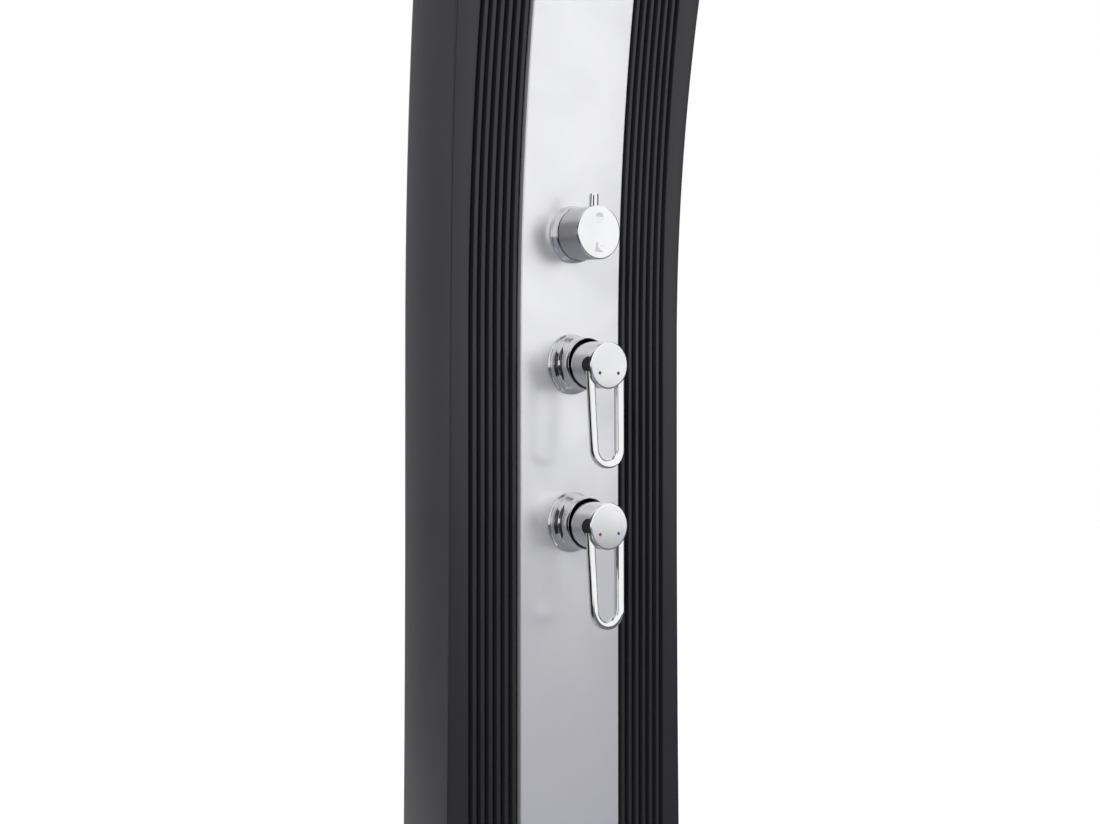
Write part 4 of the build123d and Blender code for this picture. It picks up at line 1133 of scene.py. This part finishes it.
falling = {
    "roseHalf": 4.2,
    "roseBottom": 13.6,
    "roseMiddle": 14.2,
    "roseRise": 3.2,
    "counts": (5, 4),
    "top": 12.4,
    "gap": 1.7,
    "rowGap": 2.4,
    "lean": 0.13,
    "long": 1.3,
}
roseShape = []
arcSteps = 14
for i in range(arcSteps + 1):
    t = pi * i / arcSteps
    height = falling["roseMiddle"] + falling["roseRise"] * sin(t)
    roseShape.append((falling["roseHalf"] * cos(t), height))
roseShape += [(sideOf * falling["roseHalf"], falling["roseBottom"]) for sideOf in (-1, 1)]
showerBits = [flatShape("roseShape", roseShape)]
for row, count in enumerate(falling["counts"]):
    for i in range(count):
        aside = i - (count - 1) / 2
        top = falling["top"] - falling["rowGap"] * row
        lean = aside * falling["lean"]
        showerBits.append(streak(aside * falling["gap"], top, lean, falling["long"]))
showerPicture = joinAs("showerPicture", showerBits)
setDown(showerPicture, diverterPlace)
finishPiece(showerPicture, "diverter_handle", "chrome", pictureGrey)

footShape = [
    (-4.0, -17.2),
    (4.4, -17.2),
    (4.8, -16.4),
    (3.8, -15.5),
    (0.9, -14.6),
    (-1.0, -12.6),
    (-1.3, -8.8),
    (-3.3, -8.8),
    (-3.5, -12.6),
    (-4.3, -15.4),
]
footBits = [flatShape("footShape", footShape)]
splash = {"count": 3, "start": (1.6, -11.6), "step": (1.5, 0.4), "lean": 0.5, "long": 1.5}
for i in range(splash["count"]):
    x, y = (start + step * i for start, step in zip(splash["start"], splash["step"]))
    footBits.append(streak(x, y, splash["lean"], splash["long"]))
footPicture = joinAs("footPicture", footBits)
setDown(footPicture, diverterPlace)
finishPiece(footPicture, "diverter_handle", "chrome", pictureGrey)
print("diverter ready")

# Low outlets and wall rosettes
wallProfile = [
    (11, 0.2),
    (26.5, 0.2),
    (27, 0.6),
    (27, 1.7),
    (26.6, 2.4),
    (25, 3.6),
    (20, 5.6),
    (15.5, 7.2),
    (13.6, 7.8),
    (12.4, 8),
    (11, 8),
]
wallMaster = spinProfile("wallRosetteMaster", wallProfile, 96)
for name, along in outlets.items():
    wallRosette = copyOf(wallMaster, name + "WallRosette")
    setDown(wallRosette, faceMatrix(along))
    finishPiece(wallRosette, "column", "chrome", brightChrome, "wall_rosettes")
removePiece(wallMaster)


def tubeAlong(name, radius, first, bend, last, place, bendRadius):
    # a round tube: straight out, one bend downwards, then straight again
    bpy.ops.object.select_all(action="DESELECT")
    bpy.ops.mesh.primitive_circle_add(vertices=56, radius=radius * mm, fill_type="NGON")
    tube = bpy.context.object
    tube.name = tube.data.name = name
    bpy.ops.object.mode_set(mode="EDIT")
    bpy.ops.mesh.select_mode(type="FACE")
    bpy.ops.mesh.select_all(action="SELECT")
    extrudeBy((0, 0, first * mm))
    centre = (0, -bendRadius * mm, first * mm)
    bpy.ops.mesh.spin(steps=28, angle=bend, center=centre, axis=(-1, 0, 0))
    heading = Vector((0, -sin(bend), cos(bend)))
    extrudeBy(heading * last * mm)
    cleanMesh()
    setDown(tube, place)
    return tube


foot = {"reach": 62, "drop": 34, "bendRadius": 26, "start": -30, "radius": 11}
footPlace = faceMatrix(outlets["foot"])
footTube = tubeAlong(
    "footTube",
    foot["radius"],
    foot["reach"] - foot["start"] - foot["bendRadius"],
    pi / 2,
    foot["drop"] - foot["bendRadius"],
    footPlace @ Matrix.Translation((0, 0, foot["start"] * mm)),
    foot["bendRadius"],
)
finishPiece(footTube, "column", "chrome", brightChrome, "foot_spout")
aeratorProfile = [
    (4, 0.2),
    (11, 0),
    (11.7, 0.3),
    (12, 0.9),
    (12, 8.2),
    (11.6, 8.9),
    (9.2, 9.6),
    (8, 10),
    (7, 9.4),
    (4, 9.2),
]
aerator = spinProfile("footAerator", aeratorProfile, 72)
mouth = Matrix.Translation((0, -foot["drop"] * mm, foot["reach"] * mm))
setDown(aerator, footPlace @ mouth @ Matrix.Rotation(pi / 2, 4, "X"))
finishPiece(aerator, "column", "chrome", paintedShadeChrome, "foot_aerator")

# Shower arm and rose
arm = {"reach": 110, "drop": 62, "bendRadius": 55, "start": -4, "radius": 11, "ballNeck": 26}
armTurn = pi / 2 - outlets["arm"] / column["bendRadius"]
cut = arm["bendRadius"] * tan(armTurn / 2)
armPlace = faceMatrix(outlets["arm"])
armTube = tubeAlong(
    "armTube",
    arm["radius"],
    arm["reach"] - arm["start"] - cut,
    armTurn,
    arm["drop"] - cut,
    armPlace @ Matrix.Translation((0, 0, arm["start"] * mm)),
    arm["bendRadius"],
)
finishPiece(armTube, "column", "chrome", brightChrome, "shower_arm")

armEnd = armPlace @ Vector((0, 0, arm["reach"] * mm)) - Vector((0, 0, arm["drop"] * mm))
ballCentre = armEnd - Vector((0, 0, arm["ballNeck"] * mm))
belowBall = Matrix.Translation(ballCentre) @ Matrix.Rotation(pi, 4, "X")
shellProfile = [
    (10, 15.2),
    (10, 8.2),
    (15.4, 8.2),
    (16, 8.8),
    (16, 12.2),
    (17.2, 13.8),
    (21, 15.6),
    (40, 18.0),
    (70, 20.8),
    (92, 22.6),
    (96.6, 23.4),
    (99.2, 25.2),
    (100, 27.6),
    (100, 32.2),
    (99.4, 33),
    (98.1, 33),
    (97.5, 32.4),
    (97.5, 28),
    (60, 24),
    (24, 20),
    (16, 17),
]
roseShell = spinProfile("roseShell", shellProfile, 128)
setDown(roseShell, belowBall)
finishPiece(roseShell, "rose_head", "chrome", brightChrome, "rose_shell")
print("outlets, arm and rose ready")


# Studio
studio = {  # lens in millimetres, place in metres, angles in degrees
    "floorTone": (0.86, 0.86, 0.87),
    "floorGlow": 0.65,
    "worldDiffuse": 0.42,
    "lens": 48.09,
    "cameraPlace": (-0.7984, -1.0672, 1.0715),
    "yaw": 36.52,
    "pitch": -0.08,
}


def whiteWhereSeen(nodes, links, unseen, seen):
    # one level for what the camera and reflections see, another for the light itself
    path = nodes.new("ShaderNodeLightPath")
    reflected = nodes.new("ShaderNodeMath")
    reflected.operation = "MAXIMUM"
    links.new(path.outputs["Is Glossy Ray"], reflected.inputs[0])
    links.new(path.outputs["Is Transmission Ray"], reflected.inputs[1])
    most = nodes.new("ShaderNodeMath")
    most.operation = "MAXIMUM"
    links.new(path.outputs["Is Camera Ray"], most.inputs[0])
    links.new(reflected.outputs[0], most.inputs[1])
    level = spread(nodes, 0, 1, unseen, seen)
    links.new(most.outputs[0], level.inputs["Value"])
    return level


def paleFloor():
    bpy.ops.object.select_all(action="DESELECT")
    bpy.ops.mesh.primitive_circle_add(vertices=96, radius=14, fill_type="NGON")
    floor = bpy.context.object
    floor.name = "floor"
    material = bpy.data.materials.new("paleFloor")
    material.use_nodes = True
    shader = material.node_tree.nodes["Principled BSDF"]
    shader.inputs["Base Color"].default_value = (*studio["floorTone"], 1)
    shader.inputs["Roughness"].default_value = 0.7
    shader.inputs["Specular IOR Level"].default_value = 0.2
    shader.inputs["Emission Color"].default_value = (1, 1, 1, 1)
    links = material.node_tree.links
    seen = whiteWhereSeen(material.node_tree.nodes, links, 0, studio["floorGlow"])
    links.new(seen.outputs["Result"], shader.inputs["Emission Strength"])
    floor.data.materials.append(material)


paleFloor()


def whiteWorld():
    world = bpy.data.worlds.new("studioWorld")
    scene.world = world
    world.use_nodes = True
    nodes, links = world.node_tree.nodes, world.node_tree.links
    back = nodes["Background"]
    back.inputs["Color"].default_value = (1, 1, 1, 1)
    level = whiteWhereSeen(nodes, links, studio["worldDiffuse"], 1)
    links.new(level.outputs["Result"], back.inputs["Strength"])


whiteWorld()


def softLamp(name, place, target, size, power):
    bpy.ops.object.select_all(action="DESELECT")
    bpy.ops.object.light_add(type="AREA", location=place)
    lamp = bpy.context.object
    lamp.name = name
    lamp.data.shape = "RECTANGLE"
    lamp.data.size, lamp.data.size_y = size
    lamp.data.energy = power
    lamp.rotation_euler = (Vector(target) - Vector(place)).to_track_quat("-Z", "Y").to_euler()
    lamp.visible_glossy = False


# place, target and size in metres, and power in watts
lamps = {
    "keyLamp": ((-2.2, -2.2, 2.9), (0, 0, 1.2), (1.6, 1.6), 80),
    "fillLamp": ((2.6, -2.4, 1.8), (0, 0, 1.1), (1.6, 1.6), 30),
}
for name, (place, target, size, power) in lamps.items():
    softLamp(name, place, target, size, power)


def darkCard(name, place, target, size, tone):
    # studio card that only reflections see; it gives bright metal its darker, bluish side
    bpy.ops.object.select_all(action="DESELECT")
    bpy.ops.mesh.primitive_plane_add(size=1, location=place)
    card = bpy.context.object
    card.name = name
    card.scale = (size[0], size[1], 1)
    card.rotation_euler = (Vector(target) - Vector(place)).to_track_quat("Z", "Y").to_euler()
    material = bpy.data.materials.new(name)
    material.use_nodes = True
    shader = material.node_tree.nodes["Principled BSDF"]
    shader.inputs["Base Color"].default_value = (tone, tone, tone * 1.2, 1)
    shader.inputs["Roughness"].default_value = 0.9
    card.data.materials.append(material)
    card.visible_camera = card.visible_diffuse = card.visible_shadow = False


# place, target and size in metres, and tone
cards = {
    "leftCard": ((-1.5, -2.0, 1.1), (0, 0, 1.1), (1.3, 2.8), 0.02),
    "backCard": ((-1.9, 2.5, 1.1), (0, 0, 1.1), (1.0, 5.0), 0.5),
    "highSideCard": ((-2.9, 0.78, 3.0), (0, 0, 1.25), (2.3, 2.5), 0.03),
    "lowSideCard": ((-2.9, 0.78, 0.45), (0, 0, 0.6), (2.3, 0.9), 0.03),
    "sideFloorCard": ((-2.2, 0.8, 0.006), (-2.2, 0.8, 1), (1.8, 2.0), 0.06),
    "rightCard": ((2.8, -0.7, 1.3), (0, 0, 1.1), (2.1, 3.2), 0.03),
    "lowCard": ((0, -6.6, 0.004), (0, -6.6, 1), (13, 13), 0.2),
}
for name, (place, target, size, tone) in cards.items():
    darkCard(name, place, target, size, tone)

bpy.ops.object.select_all(action="DESELECT")
bpy.ops.object.camera_add(location=studio["cameraPlace"])
camera = bpy.context.object
camera.data.lens = studio["lens"]
camera.data.sensor_width = 36
camera.rotation_euler = (radians(90 - studio["pitch"]), 0, -radians(studio["yaw"]))
scene.camera = camera
print("studio ready")
